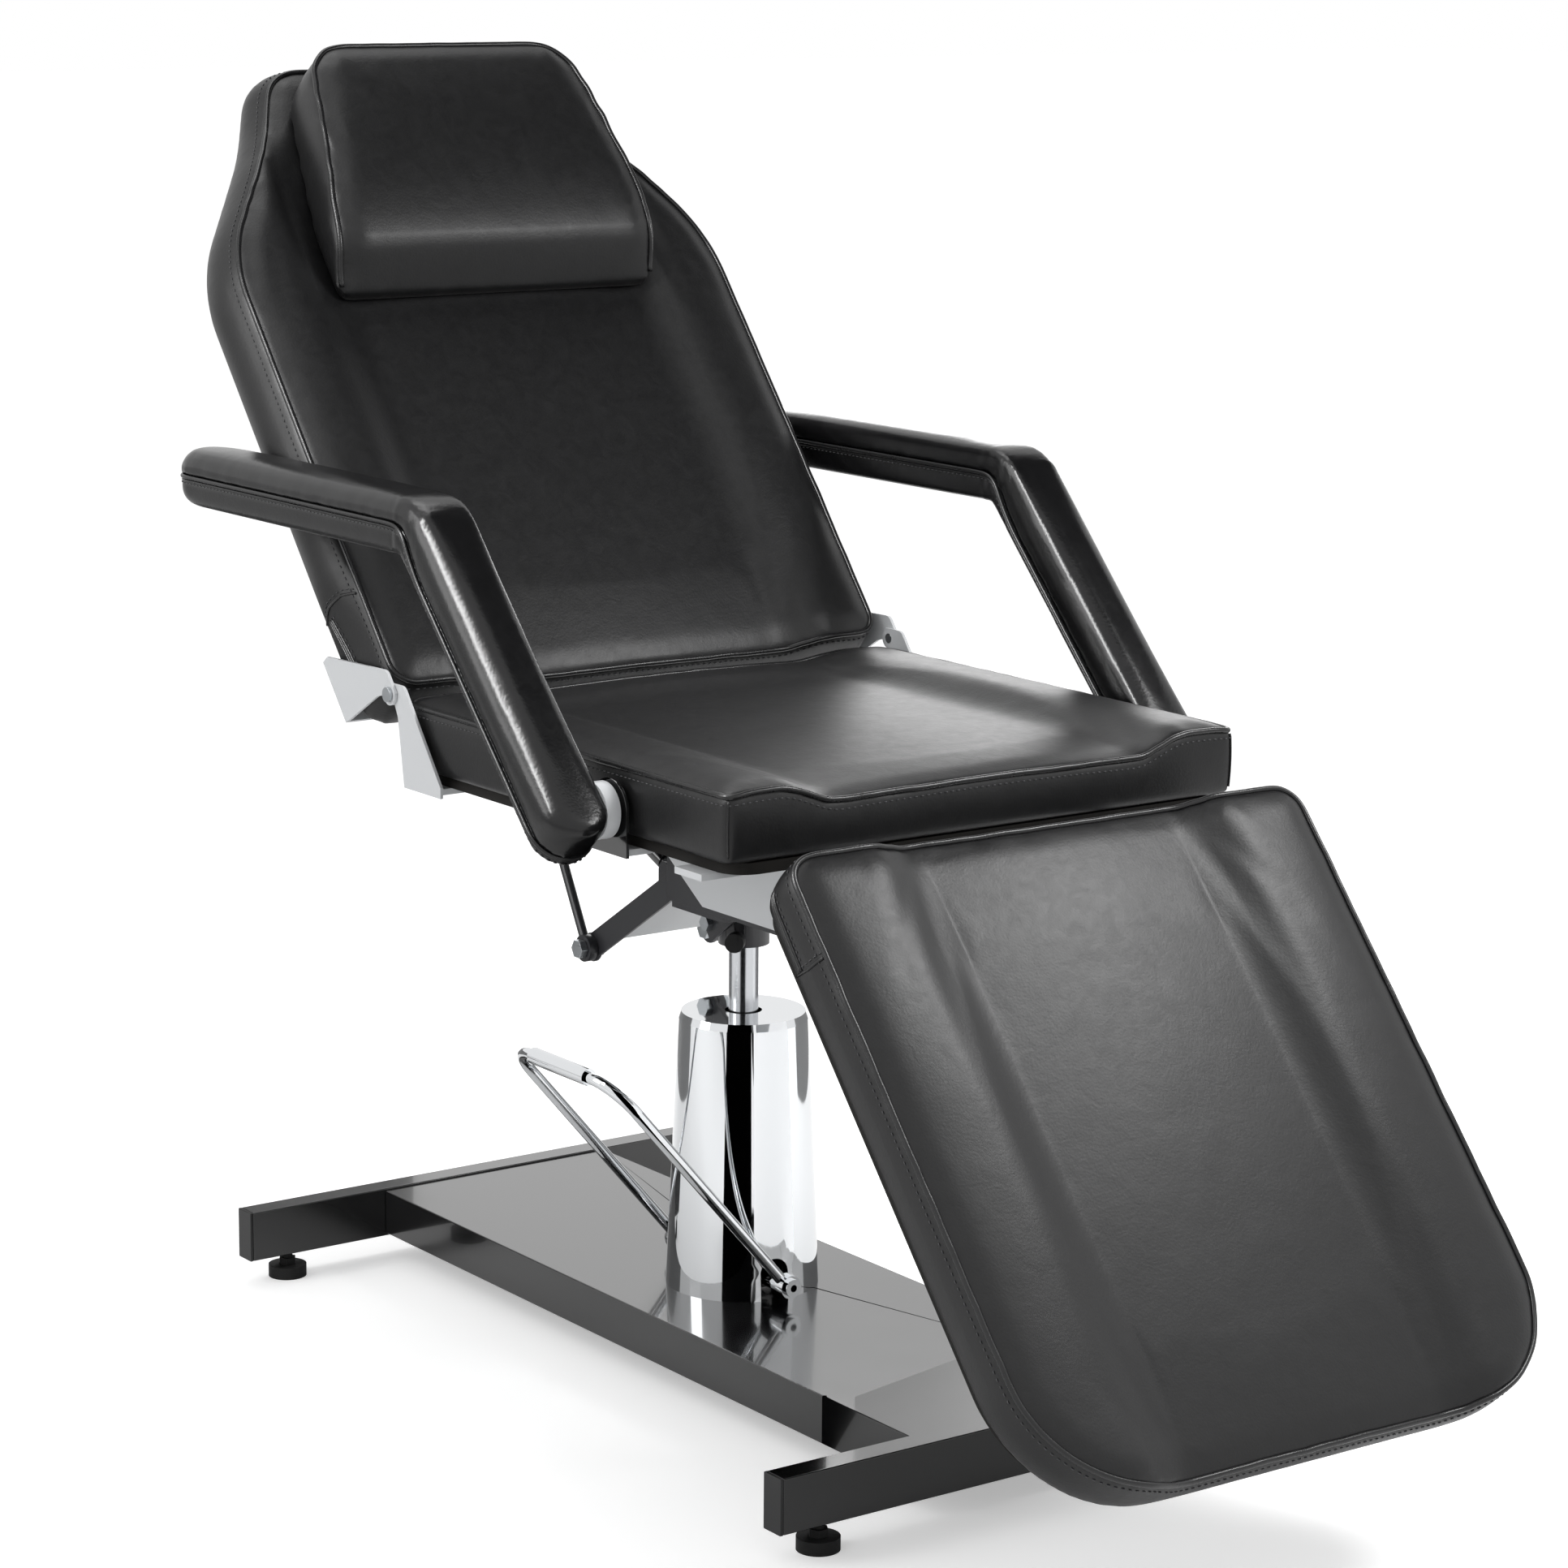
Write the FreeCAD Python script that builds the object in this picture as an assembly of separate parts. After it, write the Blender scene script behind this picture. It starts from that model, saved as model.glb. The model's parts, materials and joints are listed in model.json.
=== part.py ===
"""Hydraulic three-section tattoo chair, all lengths in millimetres.

+Z is up, the leg rest points to -Y, the headrest to +Y and the sitter's right is -X.
Until the last step the piston's axis is at X = Y = 0 and the floor is at Z = 0.
"""
import FreeCAD, Part
import math
import os

os.makedirs("parts", exist_ok=True)

# Main sizes of the bed
bed_width = 560.0
seat_rear = 150.0
seat_front = -371.0
seat_bottom = 565.0
seat_top = 645.0
board_thickness = 10.0
board_inset = 6.0
back_length = 718.0
back_full_width_length = 482.0
back_top_half_width = 135.0
back_thickness = 91.0
back_gap = 6.0
back_face_height = 8.0
leg_length = 584.0
leg_thickness = 72.0
leg_corner_radius = 112.0
leg_gap = 2.0
leg_underside_height = 32.0

# Rest angles of the two folding panels
back_angle = 51.0
leg_angle = 50.0
back_hinge_y = 156.0
back_hinge_z = 643.0
leg_hinge_y = -372.0
leg_hinge_z = 541.0

# Cushion shape
bolster_width = 104.0
bolster_rise = 5.0
dish_depth = 17.0
crown_rise = 5.0
side_draw = 7.0
cushion_corner = 26.0
cushion_edge = 18.0
piping_drop = 9.0

# Headrest pillow
pillow_start = 430.0
pillow_end = 692.0
pillow_half_width = 182.0
pillow_top_half_width = 136.0
pillow_height = 72.0
pillow_gap = 0.4
pillow_corner = 34.0

# Base
base_half_length = 466.0
base_half_width = 285.0
tube_width = 25.0
tube_height = 50.0
tube_wall = 2.5
tube_bottom = 25.0
cap_flange = 3.0
cap_plug = 18.0
channel_half_width = 133.0
channel_top = 73.0
channel_depth = 45.0
channel_wall = 4.0
foot_inset = 45.0
foot_pad_radius = 19.0
foot_pad_height = 12.0
foot_nut_radius = 9.0
foot_nut_height = 7.0
foot_stud_radius = 5.0
foot_stud_top = 60.0
bush_radius = 8.5
bush_height = 14.0

# Pump, its cover and the foot pedal
cover_bottom_radius = 73.0
cover_top_radius = 61.0
cover_top = 337.0
cover_rim = 7.0
cover_wall = 2.0
cover_hole_radius = 17.5
arch_half_width = 14.0
arch_height = 26.0
pump_flange_radius = 56.0
pump_flange_height = 10.0
pump_radius = 34.0
pump_top = 322.0
pump_bore_bottom = 106.0
pump_bolt_circle = 46.0
pump_bolt_radius = 5.0
pump_bolt_head = 7.0
pump_bolt_head_radius = 8.5
piston_radius = 14.0
piston_bottom = 174.0
piston_top = 442.0
running_gap = 0.06
fit_gap = 0.3
shaft_x = -12.0
shaft_z = 92.0
shaft_radius = 8.5
shaft_bore_radius = 3.5
shaft_half_length = 101.0
pedal_half_width = 88.0
pedal_reach = 292.0
pedal_corner = 38.0
pedal_rod_radius = 5.5
pedal_angle = 49.0
tread_radius = 8.0
tread_half_length = 46.0
collar_half_length = 9.0
collar_radius = 11.0
collar_screw_radius = 3.0

# Turning head on the piston
head_plate_bottom = 443.0
head_plate_thickness = 6.0
head_plate_half_width = 72.0
head_plate_rear = 14.0
head_plate_front = -70.0
head_collar_radius = 24.0
head_collar_bottom = 402.0
cheek_x = 37.0
cheek_thickness = 3.0
cheek_tip_y = -3.0
cheek_tip_z = 408.0
cheek_rear = 22.0
cheek_front = -52.0
cheek_bolt_z = 426.0
cheek_bolt_radius = 4.0
cheek_bolt_head = 6.0
cheek_bolt_head_radius = 7.5
knob_z = 413.0
knob_radius = 9.0
knob_length = 12.0
knob_start = 41.0
knob_stem_radius = 4.0

# Beam under the seat, with the two bent arms
beam_mid_y = -115.5
beam_centre_z = 461.0
arm_height = 24.0
arm_half_width = 70.0
arm_plate = 4.0
arm_bend_y = 20.0
arm_pivot_y = 154.0
arm_pivot_z = 376.0
arm_eye_radius = 14.0
arm_fork_length = 46.0
arm_box_inset = 2.0
arm_box_wall = 3.0
sleeve_front = -224.0
sleeve_rear = 20.0
sleeve_top = 495.0
mount_plate = 3.0
mount_plate_top_rear = 116.0
mount_plate_low_rear = -42.0
mount_plate_bottom = 454.0
mount_plate_front = -340.0
strap_thickness = 6.0
strap_width = 40.0
rear_strap_y = 85.0
middle_strap_y = -225.0
front_strap_y = -340.0
strap_overhang = 3.5

# Hinge brackets and pins
bracket_thickness = 3.0
hinge_pin_radius = 5.0
rivet_head_radius = 7.0
rivet_head_height = 3.0
leg_lug_x = 150.0
leg_lug_thickness = 5.0
leg_plate_x = 156.0
lug_radius = 12.0

# Links, their tracks and the gas struts
pivot_bolt_radius = 5.0
yoke_eye_radius = 13.0
yoke_eye_inner_x = 70.4
yoke_eye_thickness = 9.2
yoke_rod_x = 75.0
yoke_rod_radius = 4.5
yoke_bar_radius = 4.0
yoke_bar_half = 80.0
back_link_length = 328.0
back_link_angle = 28.4
leg_link_length = 348.0
leg_link_angle = 122.4
strut_bar_reach = 200.0
hex_head_height = 7.0
hex_head_radius = 9.5
nut_height = 7.0
track_inner_x = 82.0
track_thickness = 18.0
track_bottom = 119.0
track_groove_half = 7.0
track_groove_depth = 12.0
back_bar_height = -106.0
leg_bar_height = 9.0
leg_track_bottom = -4.0
back_track_start = 72.0
back_track_end = 330.0
leg_track_start = 250.0
leg_track_end = 500.0
strut_x = 45.0
strut_anchor_y = 50.0
strut_anchor_z = 468.0
leg_strut_anchor_y = -270.0
leg_strut_anchor_z = 490.0
strut_radius = 9.0
strut_rod_radius = 4.0
strut_pin_radius = 4.0
strut_eye_half = 8.0
strut_eye_radius = 9.0
strut_lug_gap = 0.8
strut_lug_plate = 3.0
strut_neck = 14.0
strut_cap = 6.0
back_strut_body = 125.0
leg_strut_body = 165.0
back_strut_rod = 168.0
leg_strut_rod = 210.0
strut_slot_half_width = 6.5
strut_slot_wall = 4.0
strut_end_half = 6.0
back_slot_before = 9.0
back_slot_after = 9.0
leg_slot_before = 8.0
leg_slot_after = 20.0

# Release levers
lever_pivot_back_s = 318.0
lever_pivot_leg_s = 330.0
lever_hub_radius = 8.0
lever_stub_radius = 4.0
lever_plate = 5.0
lever_side_gap = 2.0
lever_lean = 30.0
lever_rod_radius = 4.0
lever_reach = 30.0
grip_length = 82.0
grip_radius = 12.5
grip_wall_radius = 4.3

# Armrests
armrest_clearance = 24.0
armrest_width = 52.0
armrest_top = 845.0
armrest_thickness = 48.0
armrest_core = 17.0
armrest_core_inset = 2.0
armrest_tip_y = 440.0
armrest_elbow_y = -1.0
armrest_slope = 46.5
armrest_low_length = 354.0
armrest_elbow_radius = 46.0
armrest_inner_radius = 8.0
armrest_end_radius = 14.0
armrest_end_cut = 14.0
armrest_edge = 10.0
armrest_pivot_y = -205.0
armrest_pivot_z = 598.0
disc_radius = 25.0
disc_clearance = 10.0
axle_radius = 8.0
axle_end_clearance = 23.0
axle_plate_rear = -178.0
axle_plate_front = -232.0

# Step from the piston's axis to the middle of the whole chair
floor_shift = 81.96


def vec(x, y, z):
    return FreeCAD.Vector(x, y, z)


def box(x_low, x_high, y_low, y_high, z_low, z_high):
    size = vec(x_high - x_low, y_high - y_low, z_high - z_low)
    return Part.makeBox(size.x, size.y, size.z, vec(x_low, y_low, z_low))


def rod(radius, start, finish):
    axis = finish - start
    return Part.makeCylinder(radius, axis.Length, start, axis)


def rod_x(radius, x_low, x_high, y, z):
    return rod(radius, vec(x_low, y, z), vec(x_high, y, z))


def rod_z(radius, x, y, z_low, z_high):
    return rod(radius, vec(x, y, z_low), vec(x, y, z_high))


def hexagon(radius, start, finish):
    axis = finish - start
    side = axis.cross(vec(0, 0, 1))
    if side.Length < axis.Length / 2:
        side = axis.cross(vec(0, 1, 0))
    side.normalize()
    turn = FreeCAD.Rotation(axis, 60)
    corners = [start + side * radius]
    for _ in range(6):
        side = turn.multVec(side)
        corners.append(start + side * radius)
    return Part.Face(Part.makePolygon(corners)).extrude(axis)


def fuse(shapes):
    return shapes[0].multiFuse(shapes[1:]).removeSplitter()


def mirrored(shape):
    return shape.mirror(vec(0, 0, 0), vec(1, 0, 0))


def both_sides(shape):
    return Part.makeCompound([shape, mirrored(shape)])


def unit(point):
    return point / point.Length


def rounded_wire(points, radii, place):
    """Closed wire through 2-D points, each corner rounded to its radius."""
    flat = [vec(first, second, 0) for first, second in points]
    ends = []
    for index, corner in enumerate(flat):
        before = unit(flat[index - 1] - corner)
        after = unit(flat[(index + 1) % len(flat)] - corner)
        radius = radii[index]
        if radius == 0:
            ends.append((corner, None, corner))
            continue
        half_angle = before.getAngle(after) / 2
        middle = unit(before + after)
        run = radius / math.tan(half_angle)
        centre = corner + middle * (radius / math.sin(half_angle))
        ends.append((corner + before * run, centre - middle * radius, corner + after * run))
    edges = []
    for index, (start, middle, finish) in enumerate(ends):
        if middle is not None:
            edges.append(Part.Arc(place(start), place(middle), place(finish)).toShape())
        following = ends[(index + 1) % len(ends)][0]
        if (following - finish).Length > (finish - start).Length * 1e-6 + 1e-6:
            edges.append(Part.makeLine(place(finish), place(following)))
    return Part.Wire(edges)


def side_plate(points, radii, x_low, x_high):
    """Plate with its outline in Y and Z."""
    wire = rounded_wire(points, radii, lambda p: vec(x_low, p.x, p.y))
    return Part.Face(wire).extrude(vec(x_high - x_low, 0, 0))


def flat_plate(points, radii, z_low, z_high):
    """Plate with its outline in X and Y."""
    wire = rounded_wire(points, radii, lambda p: vec(p.x, p.y, z_low))
    return Part.Face(wire).extrude(vec(0, 0, z_high - z_low))


def lean_back(shape):
    """From the flat panel, hinge line at the origin, to the reclined back."""
    shape = shape.copy()
    shape.rotate(vec(0, 0, 0), vec(1, 0, 0), back_angle)
    shape.translate(vec(0, back_hinge_y, back_hinge_z))
    return shape


def hang_down(shape):
    """From the flat panel, hinge line at the origin, to the lowered leg rest."""
    shape = shape.copy()
    shape.rotate(vec(0, 0, 0), vec(1, 0, 0), leg_angle)
    shape.translate(vec(0, leg_hinge_y, leg_hinge_z))
    return shape


# Cushions

def cushion_section(height, y):
    """Cross section with bulged sides, raised bolsters and a dished, crowned middle."""
    half = bed_width / 2
    crease = half - bolster_width
    edge = half - side_draw / 2
    low = half - side_draw
    edge_z = height - piping_drop
    crest_x = (edge + crease) / 2
    crest_z = height
    crease_z = height - dish_depth
    middle_z = crease_z + crown_rise
    bulge_z = height / 2

    def at(x, z):
        return vec(x, y, z)

    edges = [
        Part.makeLine(at(-low, 0), at(low, 0)),
        Part.Arc(at(low, 0), at(half, bulge_z), at(edge, edge_z)).toShape(),
        Part.Arc(at(edge, edge_z), at(crest_x, crest_z), at(crease, crease_z)).toShape(),
        Part.Arc(at(crease, crease_z), at(0, middle_z), at(-crease, crease_z)).toShape(),
        Part.Arc(at(-crease, crease_z), at(-crest_x, crest_z), at(-edge, edge_z)).toShape(),
        Part.Arc(at(-edge, edge_z), at(-half, bulge_z), at(-low, 0)).toShape(),
    ]
    return Part.Face(Part.Wire(edges))


def cushion(height, y_low, y_high, outline, radii):
    """Cushion from y_low to y_high, cut to its plan outline, with both ends rounded."""
    length = y_high - y_low
    body = cushion_section(height, y_low).extrude(vec(0, length, 0))
    plan = flat_plate(outline, radii, -height, height + height)
    half = bed_width
    drop = cushion_edge
    draw = side_draw / 2
    profile = [(y_low + draw, 0), (y_high - draw, 0), (y_high, height / 2),
               (y_high - draw, height + bolster_rise), (y_low + draw, height + bolster_rise),
               (y_low, height / 2)]
    ends = side_plate(profile, [0, 0, drop, drop, drop, drop], -half, half)
    return body.common(plan).common(ends)


def panel_outline(y_low, y_high, inset):
    half = bed_width / 2 - inset
    return [(-half, y_low), (half, y_low), (half, y_high), (-half, y_high)]


def seat_cushion():
    height = seat_top - seat_bottom - board_thickness
    outline = panel_outline(seat_front, seat_rear, 0)
    shape = cushion(height, seat_front, seat_rear, outline, [cushion_corner] * 4)
    shape.translate(vec(0, 0, seat_bottom + board_thickness))
    return shape


def seat_board():
    outline = panel_outline(seat_front + board_inset, seat_rear - board_inset, board_inset + side_draw)
    return flat_plate(outline, [cushion_corner] * 4, seat_bottom, seat_bottom + board_thickness)


def back_outline(inset):
    half = bed_width / 2 - inset
    top_half = back_top_half_width - inset
    low = back_gap + inset
    high = back_length - inset
    shoulder = back_full_width_length
    points = [(-half, low), (half, low), (half, shoulder), (top_half, high), (-top_half, high), (-half, shoulder)]
    shoulder_radius = cushion_corner * 4
    return points, [cushion_corner, cushion_corner, shoulder_radius, cushion_corner * 2,
                    cushion_corner * 2, shoulder_radius]


def back_cushion():
    height = back_thickness - board_thickness
    points, radii = back_outline(0)
    shape = cushion(height, back_gap, back_length, points, radii)
    shape.translate(vec(0, 0, back_face_height - height))
    return lean_back(shape)


def back_board():
    points, radii = back_outline(board_inset + side_draw)
    top = back_face_height - back_thickness + board_thickness
    return lean_back(flat_plate(points, radii, top - board_thickness, top))


def leg_outline(inset):
    near = -leg_gap - inset
    far = -leg_gap - leg_length + inset
    half = bed_width / 2 - inset
    points = [(-half, far), (half, far), (half, near), (-half, near)]
    return points, [leg_corner_radius, leg_corner_radius, cushion_corner, cushion_corner]


def leg_cushion():
    height = leg_thickness - board_thickness
    points, radii = leg_outline(0)
    shape = cushion(height, -leg_gap - leg_length, -leg_gap, points, radii)
    shape.translate(vec(0, 0, leg_underside_height + board_thickness))
    return hang_down(shape)


def leg_board():
    points, radii = leg_outline(board_inset + side_draw)
    return hang_down(flat_plate(points, radii, leg_underside_height, leg_underside_height + board_thickness))


def pillow_section(height):
    """Cross section of the headrest pillow: bulged sides and a gently crowned top."""
    half = pillow_half_width
    low = half - side_draw
    edge = half - side_draw / 2
    edge_z = height - piping_drop

    def at(x, z):
        return vec(x, 0, z)

    edges = [
        Part.makeLine(at(-low, 0), at(low, 0)),
        Part.Arc(at(low, 0), at(half, height / 2), at(edge, edge_z)).toShape(),
        Part.Arc(at(edge, edge_z), at(0, height), at(-edge, edge_z)).toShape(),
        Part.Arc(at(-edge, edge_z), at(-half, height / 2), at(-low, 0)).toShape(),
    ]
    return Part.Face(Part.Wire(edges))


def headrest_pillow():
    height = pillow_height + dish_depth
    lip = pillow_corner
    step = lip / 8
    body = pillow_section(height).extrude(vec(0, back_length, 0))
    profile = [(pillow_start, 0), (pillow_start + step, lip / 2), (pillow_start + lip - step * 2, height - lip / 2),
               (pillow_start + height, height), (pillow_end - lip, height), (pillow_end, height - lip / 2),
               (pillow_end - step, 0)]
    radii = [step, step, step * 4, 0, 0, step * 2, step]
    ends = side_plate(profile, radii, -bed_width, bed_width)
    half = pillow_half_width
    wide = pillow_start + lip * 2
    outline = [(-half, pillow_start), (half, pillow_start), (half, wide), (pillow_top_half_width, pillow_end),
               (-pillow_top_half_width, pillow_end), (-half, wide)]
    plan = flat_plate(outline, [lip / 2, lip / 2, lip * 4, lip, lip, lip * 4], 0, height + lip)
    shape = body.common(ends).common(plan)
    shape.translate(vec(0, 0, back_face_height - dish_depth))
    under_height = back_thickness - board_thickness
    under = cushion_section(under_height, 0).extrude(vec(0, back_length, 0))
    under.translate(vec(0, 0, back_face_height - under_height + pillow_gap))
    return lean_back(shape.cut(under))


# Base

def base_channel():
    half_y = base_half_length - tube_width
    outer = box(-channel_half_width, channel_half_width, -half_y, half_y, channel_top - channel_depth, channel_top)
    inner_half = channel_half_width - channel_wall
    inner = box(-inner_half, inner_half, -half_y, half_y, channel_top - channel_depth, channel_top - channel_wall)
    holes = [rod_z(pump_bolt_radius + fit_gap, x, y, 0, cover_top) for x, y in pump_bolt_places()]
    return outer.cut([inner] + holes)


def crossfoot(side):
    outer_y = side * base_half_length
    inner_y = side * (base_half_length - tube_width)
    low, high = sorted((outer_y, inner_y))
    top = tube_bottom + tube_height
    outer = box(-base_half_width, base_half_width, low, high, tube_bottom, top)
    inner = box(-base_half_width, base_half_width, low + tube_wall, high - tube_wall,
                tube_bottom + tube_wall, top - tube_wall)
    holes = [rod_z(foot_stud_radius + fit_gap, x, y, 0, tube_bottom + tube_height / 2)
             for x, y in foot_places() if y * side > 0]
    return Part.makeCompound([outer.cut([inner] + holes)] + foot_bushes(side))


def foot_places():
    x = base_half_width - foot_inset
    y = base_half_length - tube_width / 2
    return [(-x, -y), (x, -y), (-x, y), (x, y)]


def end_caps():
    caps = []
    y_mid = base_half_length - tube_width / 2
    for side_y in (-1, 1):
        y = side_y * y_mid
        flange = box(base_half_width, base_half_width + cap_flange, y - tube_width / 2, y + tube_width / 2,
                     tube_bottom, tube_bottom + tube_height)
        half_plug = tube_width / 2 - tube_wall - fit_gap
        plug = box(base_half_width - cap_plug, base_half_width, y - half_plug, y + half_plug,
                   tube_bottom + tube_wall + fit_gap, tube_bottom + tube_height - tube_wall - fit_gap)
        cap = fuse([flange, plug])
        caps += [cap, mirrored(cap)]
    return Part.makeCompound(caps)


def levelling_foot(x, y):
    pad = rod_z(foot_pad_radius, x, y, 0, foot_pad_height)
    nut = hexagon(foot_nut_radius, vec(x, y, foot_pad_height), vec(x, y, foot_pad_height + foot_nut_height))
    stud = rod_z(foot_stud_radius, x, y, foot_pad_height, foot_stud_top)
    return fuse([pad, nut, stud])


def foot_bushes(side):
    """Weld nuts on the floor of a crossfoot tube, one over each levelling foot."""
    bushes = []
    low = tube_bottom + tube_wall
    for x, y in foot_places():
        if y * side > 0:
            bush = hexagon(bush_radius, vec(x, y, low), vec(x, y, low + bush_height))
            bushes.append(bush.cut(rod_z(foot_stud_radius + running_gap, x, y, low, low + bush_height)))
    return bushes


# Pump and pedal

def pump_bolt_places():
    reach = pump_bolt_circle * math.sqrt(0.5)
    return [(x * reach, y * reach) for x in (-1, 1) for y in (-1, 1)]


def cover_solid():
    """Tapered cover with a hipped rim and a stepped bore, turned about the piston's axis."""
    rim_z = cover_top - cover_rim
    bottom = cover_bottom_radius
    rim = cover_top_radius
    hip = cover_rim / 3
    wall = cover_wall
    ceiling = cover_top - wall
    upper = rim - hip - wall
    lower = (upper + bottom) / 2
    step_z = (channel_top + ceiling) / 2
    points = [(bottom, channel_top), (rim, rim_z), (rim - hip, cover_top), (cover_hole_radius, cover_top),
              (cover_hole_radius, ceiling), (upper, ceiling), (upper, step_z), (lower, step_z),
              (lower, channel_top)]
    wire = rounded_wire(points, [0] * len(points), lambda p: vec(p.x, 0, p.y))
    return Part.Face(wire).revolve(vec(0, 0, 0), vec(0, 0, 1), 360)


def cover_arch():
    top = channel_top + arch_height
    reach = cover_bottom_radius + tube_width
    slot = box(shaft_x - arch_half_width, shaft_x + arch_half_width, -reach, reach, channel_top, top)
    arch = rod(arch_half_width, vec(shaft_x, -reach, top), vec(shaft_x, reach, top))
    return slot.fuse(arch)


def pump_cover():
    return cover_solid().cut(cover_arch())


def pedal_axis(radius, half_length):
    return rod(radius, vec(shaft_x, -half_length, shaft_z), vec(shaft_x, half_length, shaft_z))


def pump_body():
    flange = rod_z(pump_flange_radius, 0, 0, channel_top, channel_top + pump_flange_height)
    barrel = rod_z(pump_radius, 0, 0, channel_top, pump_top)
    bore = rod_z(piston_radius + running_gap, 0, 0, pump_bore_bottom, pump_top)
    bearing = pedal_axis(shaft_radius + running_gap, pump_flange_radius)
    holes = [rod_z(pump_bolt_radius + fit_gap, x, y, 0, cover_top) for x, y in pump_bolt_places()]
    return fuse([flange, barrel]).cut([bore, bearing] + holes)


def pump_bolts():
    bolts = []
    flange_top = channel_top + pump_flange_height
    under = channel_top - channel_wall
    for x, y in pump_bolt_places():
        head = hexagon(pump_bolt_head_radius, vec(x, y, flange_top), vec(x, y, flange_top + pump_bolt_head))
        shank = rod_z(pump_bolt_radius, x, y, under - pump_bolt_head - channel_wall, flange_top)
        nut = hexagon(pump_bolt_head_radius, vec(x, y, under - pump_bolt_head), vec(x, y, under))
        bolts.append(fuse([head, shank, nut]))
    return Part.makeCompound(bolts)


def pedal_point(reach, y):
    angle = math.radians(pedal_angle)
    return vec(shaft_x - reach * math.cos(angle), y, shaft_z + reach * math.sin(angle))


def pedal_shaft():
    solid = pedal_axis(shaft_radius, shaft_half_length)
    return solid.cut(pedal_axis(shaft_bore_radius, shaft_half_length))


def pedal_collars():
    outer = pedal_half_width + collar_half_length
    inner = pedal_half_width - collar_half_length
    return [rod(collar_radius, vec(shaft_x, side * inner, shaft_z), vec(shaft_x, side * outer, shaft_z))
            for side in (-1, 1)]


def pedal_loop():
    """U-shaped rod with two rounded corners, welded to its collars on the shaft."""
    half = pedal_half_width
    corner = pedal_corner
    near = pedal_reach - corner
    inner = half - corner
    slant = corner - corner * math.sqrt(0.5)
    foot = collar_radius / 2
    path = Part.Wire([
        Part.makeLine(pedal_point(foot, -half), pedal_point(near, -half)),
        Part.Arc(pedal_point(near, -half), pedal_point(pedal_reach - slant, slant - half),
                 pedal_point(pedal_reach, -inner)).toShape(),
        Part.makeLine(pedal_point(pedal_reach, -inner), pedal_point(pedal_reach, inner)),
        Part.Arc(pedal_point(pedal_reach, inner), pedal_point(pedal_reach - slant, half - slant),
                 pedal_point(near, half)).toShape(),
        Part.makeLine(pedal_point(near, half), pedal_point(foot, half)),
    ])
    start = pedal_point(foot, -half)
    section = Part.Wire([Part.makeCircle(pedal_rod_radius, start, pedal_point(near, -half) - start)])
    loop = path.makePipeShell([section], True, False)
    return fuse([loop] + pedal_collars()).cut(pedal_axis(shaft_radius, shaft_half_length))


def pedal_tread():
    start = pedal_point(pedal_reach, -tread_half_length)
    finish = pedal_point(pedal_reach, tread_half_length)
    return rod(tread_radius, start, finish).cut(rod(pedal_rod_radius, start, finish))


def piston_rod():
    bevel = running_gap * 20
    shape = rod_z(piston_radius, 0, 0, piston_bottom, piston_top)
    return shape.makeChamfer(bevel, shape.Edges)


# Turning head

def swivel_head():
    top = head_plate_bottom + head_plate_thickness
    half = head_plate_half_width
    plate = box(-half, half, head_plate_front, head_plate_rear, head_plate_bottom, top)
    collar = rod_z(head_collar_radius, 0, 0, head_collar_bottom, head_plate_bottom)
    bore = rod_z(piston_radius + running_gap, 0, 0, head_collar_bottom, head_plate_bottom)
    screws = rod_x(cheek_bolt_radius + fit_gap, -cheek_x, cheek_x, 0, cheek_bolt_z)
    centre = vec(0, 0, knob_z)
    knob = rod(knob_stem_radius + running_gap, centre, centre + knob_direction() * knob_start)
    return fuse([plate, collar]).cut([bore, screws, knob])


def head_cheeks():
    points = [(cheek_rear, head_plate_bottom), (cheek_front, head_plate_bottom), (cheek_tip_y, cheek_tip_z)]
    plate = side_plate(points, [0, 0, cheek_thickness], cheek_x, cheek_x + cheek_thickness)
    hole = rod_x(cheek_bolt_radius + fit_gap, 0, cheek_x * 2, 0, cheek_bolt_z)
    return both_sides(plate.cut(hole))


def head_bolts():
    outer = cheek_x + cheek_thickness
    start = vec(outer, 0, cheek_bolt_z)
    head = hexagon(cheek_bolt_head_radius, start, start + vec(cheek_bolt_head, 0, 0))
    shank = rod_x(cheek_bolt_radius, piston_radius + cheek_thickness, outer, 0, cheek_bolt_z)
    return both_sides(fuse([head, shank]))


def knob_direction():
    return vec(-math.sqrt(0.5), -math.sqrt(0.5), 0)


def swivel_lock_knob():
    centre = vec(0, 0, knob_z)
    along = knob_direction()
    stem = rod(knob_stem_radius, centre + along * (piston_radius + running_gap), centre + along * knob_start)
    head = rod(knob_radius, centre + along * knob_start, centre + along * (knob_start + knob_length))
    return fuse([stem, head])


# Beam

def arm_slope():
    """Unit vector down a bent arm and the unit vector square to it, in Y and Z."""
    along = unit(vec(arm_pivot_y - arm_bend_y, arm_pivot_z - beam_centre_z, 0))
    return along, vec(-along.y, along.x, 0)


def arm_profile(half_height, cut_back):
    """Outline of the rear arm from the middle of the beam, bent down to its pivot."""
    along, square = arm_slope()
    mitre = half_height * along.y / (1 + along.x)
    tip = vec(arm_pivot_y, arm_pivot_z, 0) - along * cut_back
    top = tip + square * half_height
    low = tip - square * half_height
    return [(beam_mid_y, beam_centre_z - half_height), (arm_bend_y + mitre, beam_centre_z - half_height),
            (low.x, low.y), (top.x, top.y), (arm_bend_y - mitre, beam_centre_z + half_height),
            (beam_mid_y, beam_centre_z + half_height)]


def front_copy(shape):
    return shape.mirror(vec(0, beam_mid_y, 0), vec(0, 1, 0))


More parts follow.
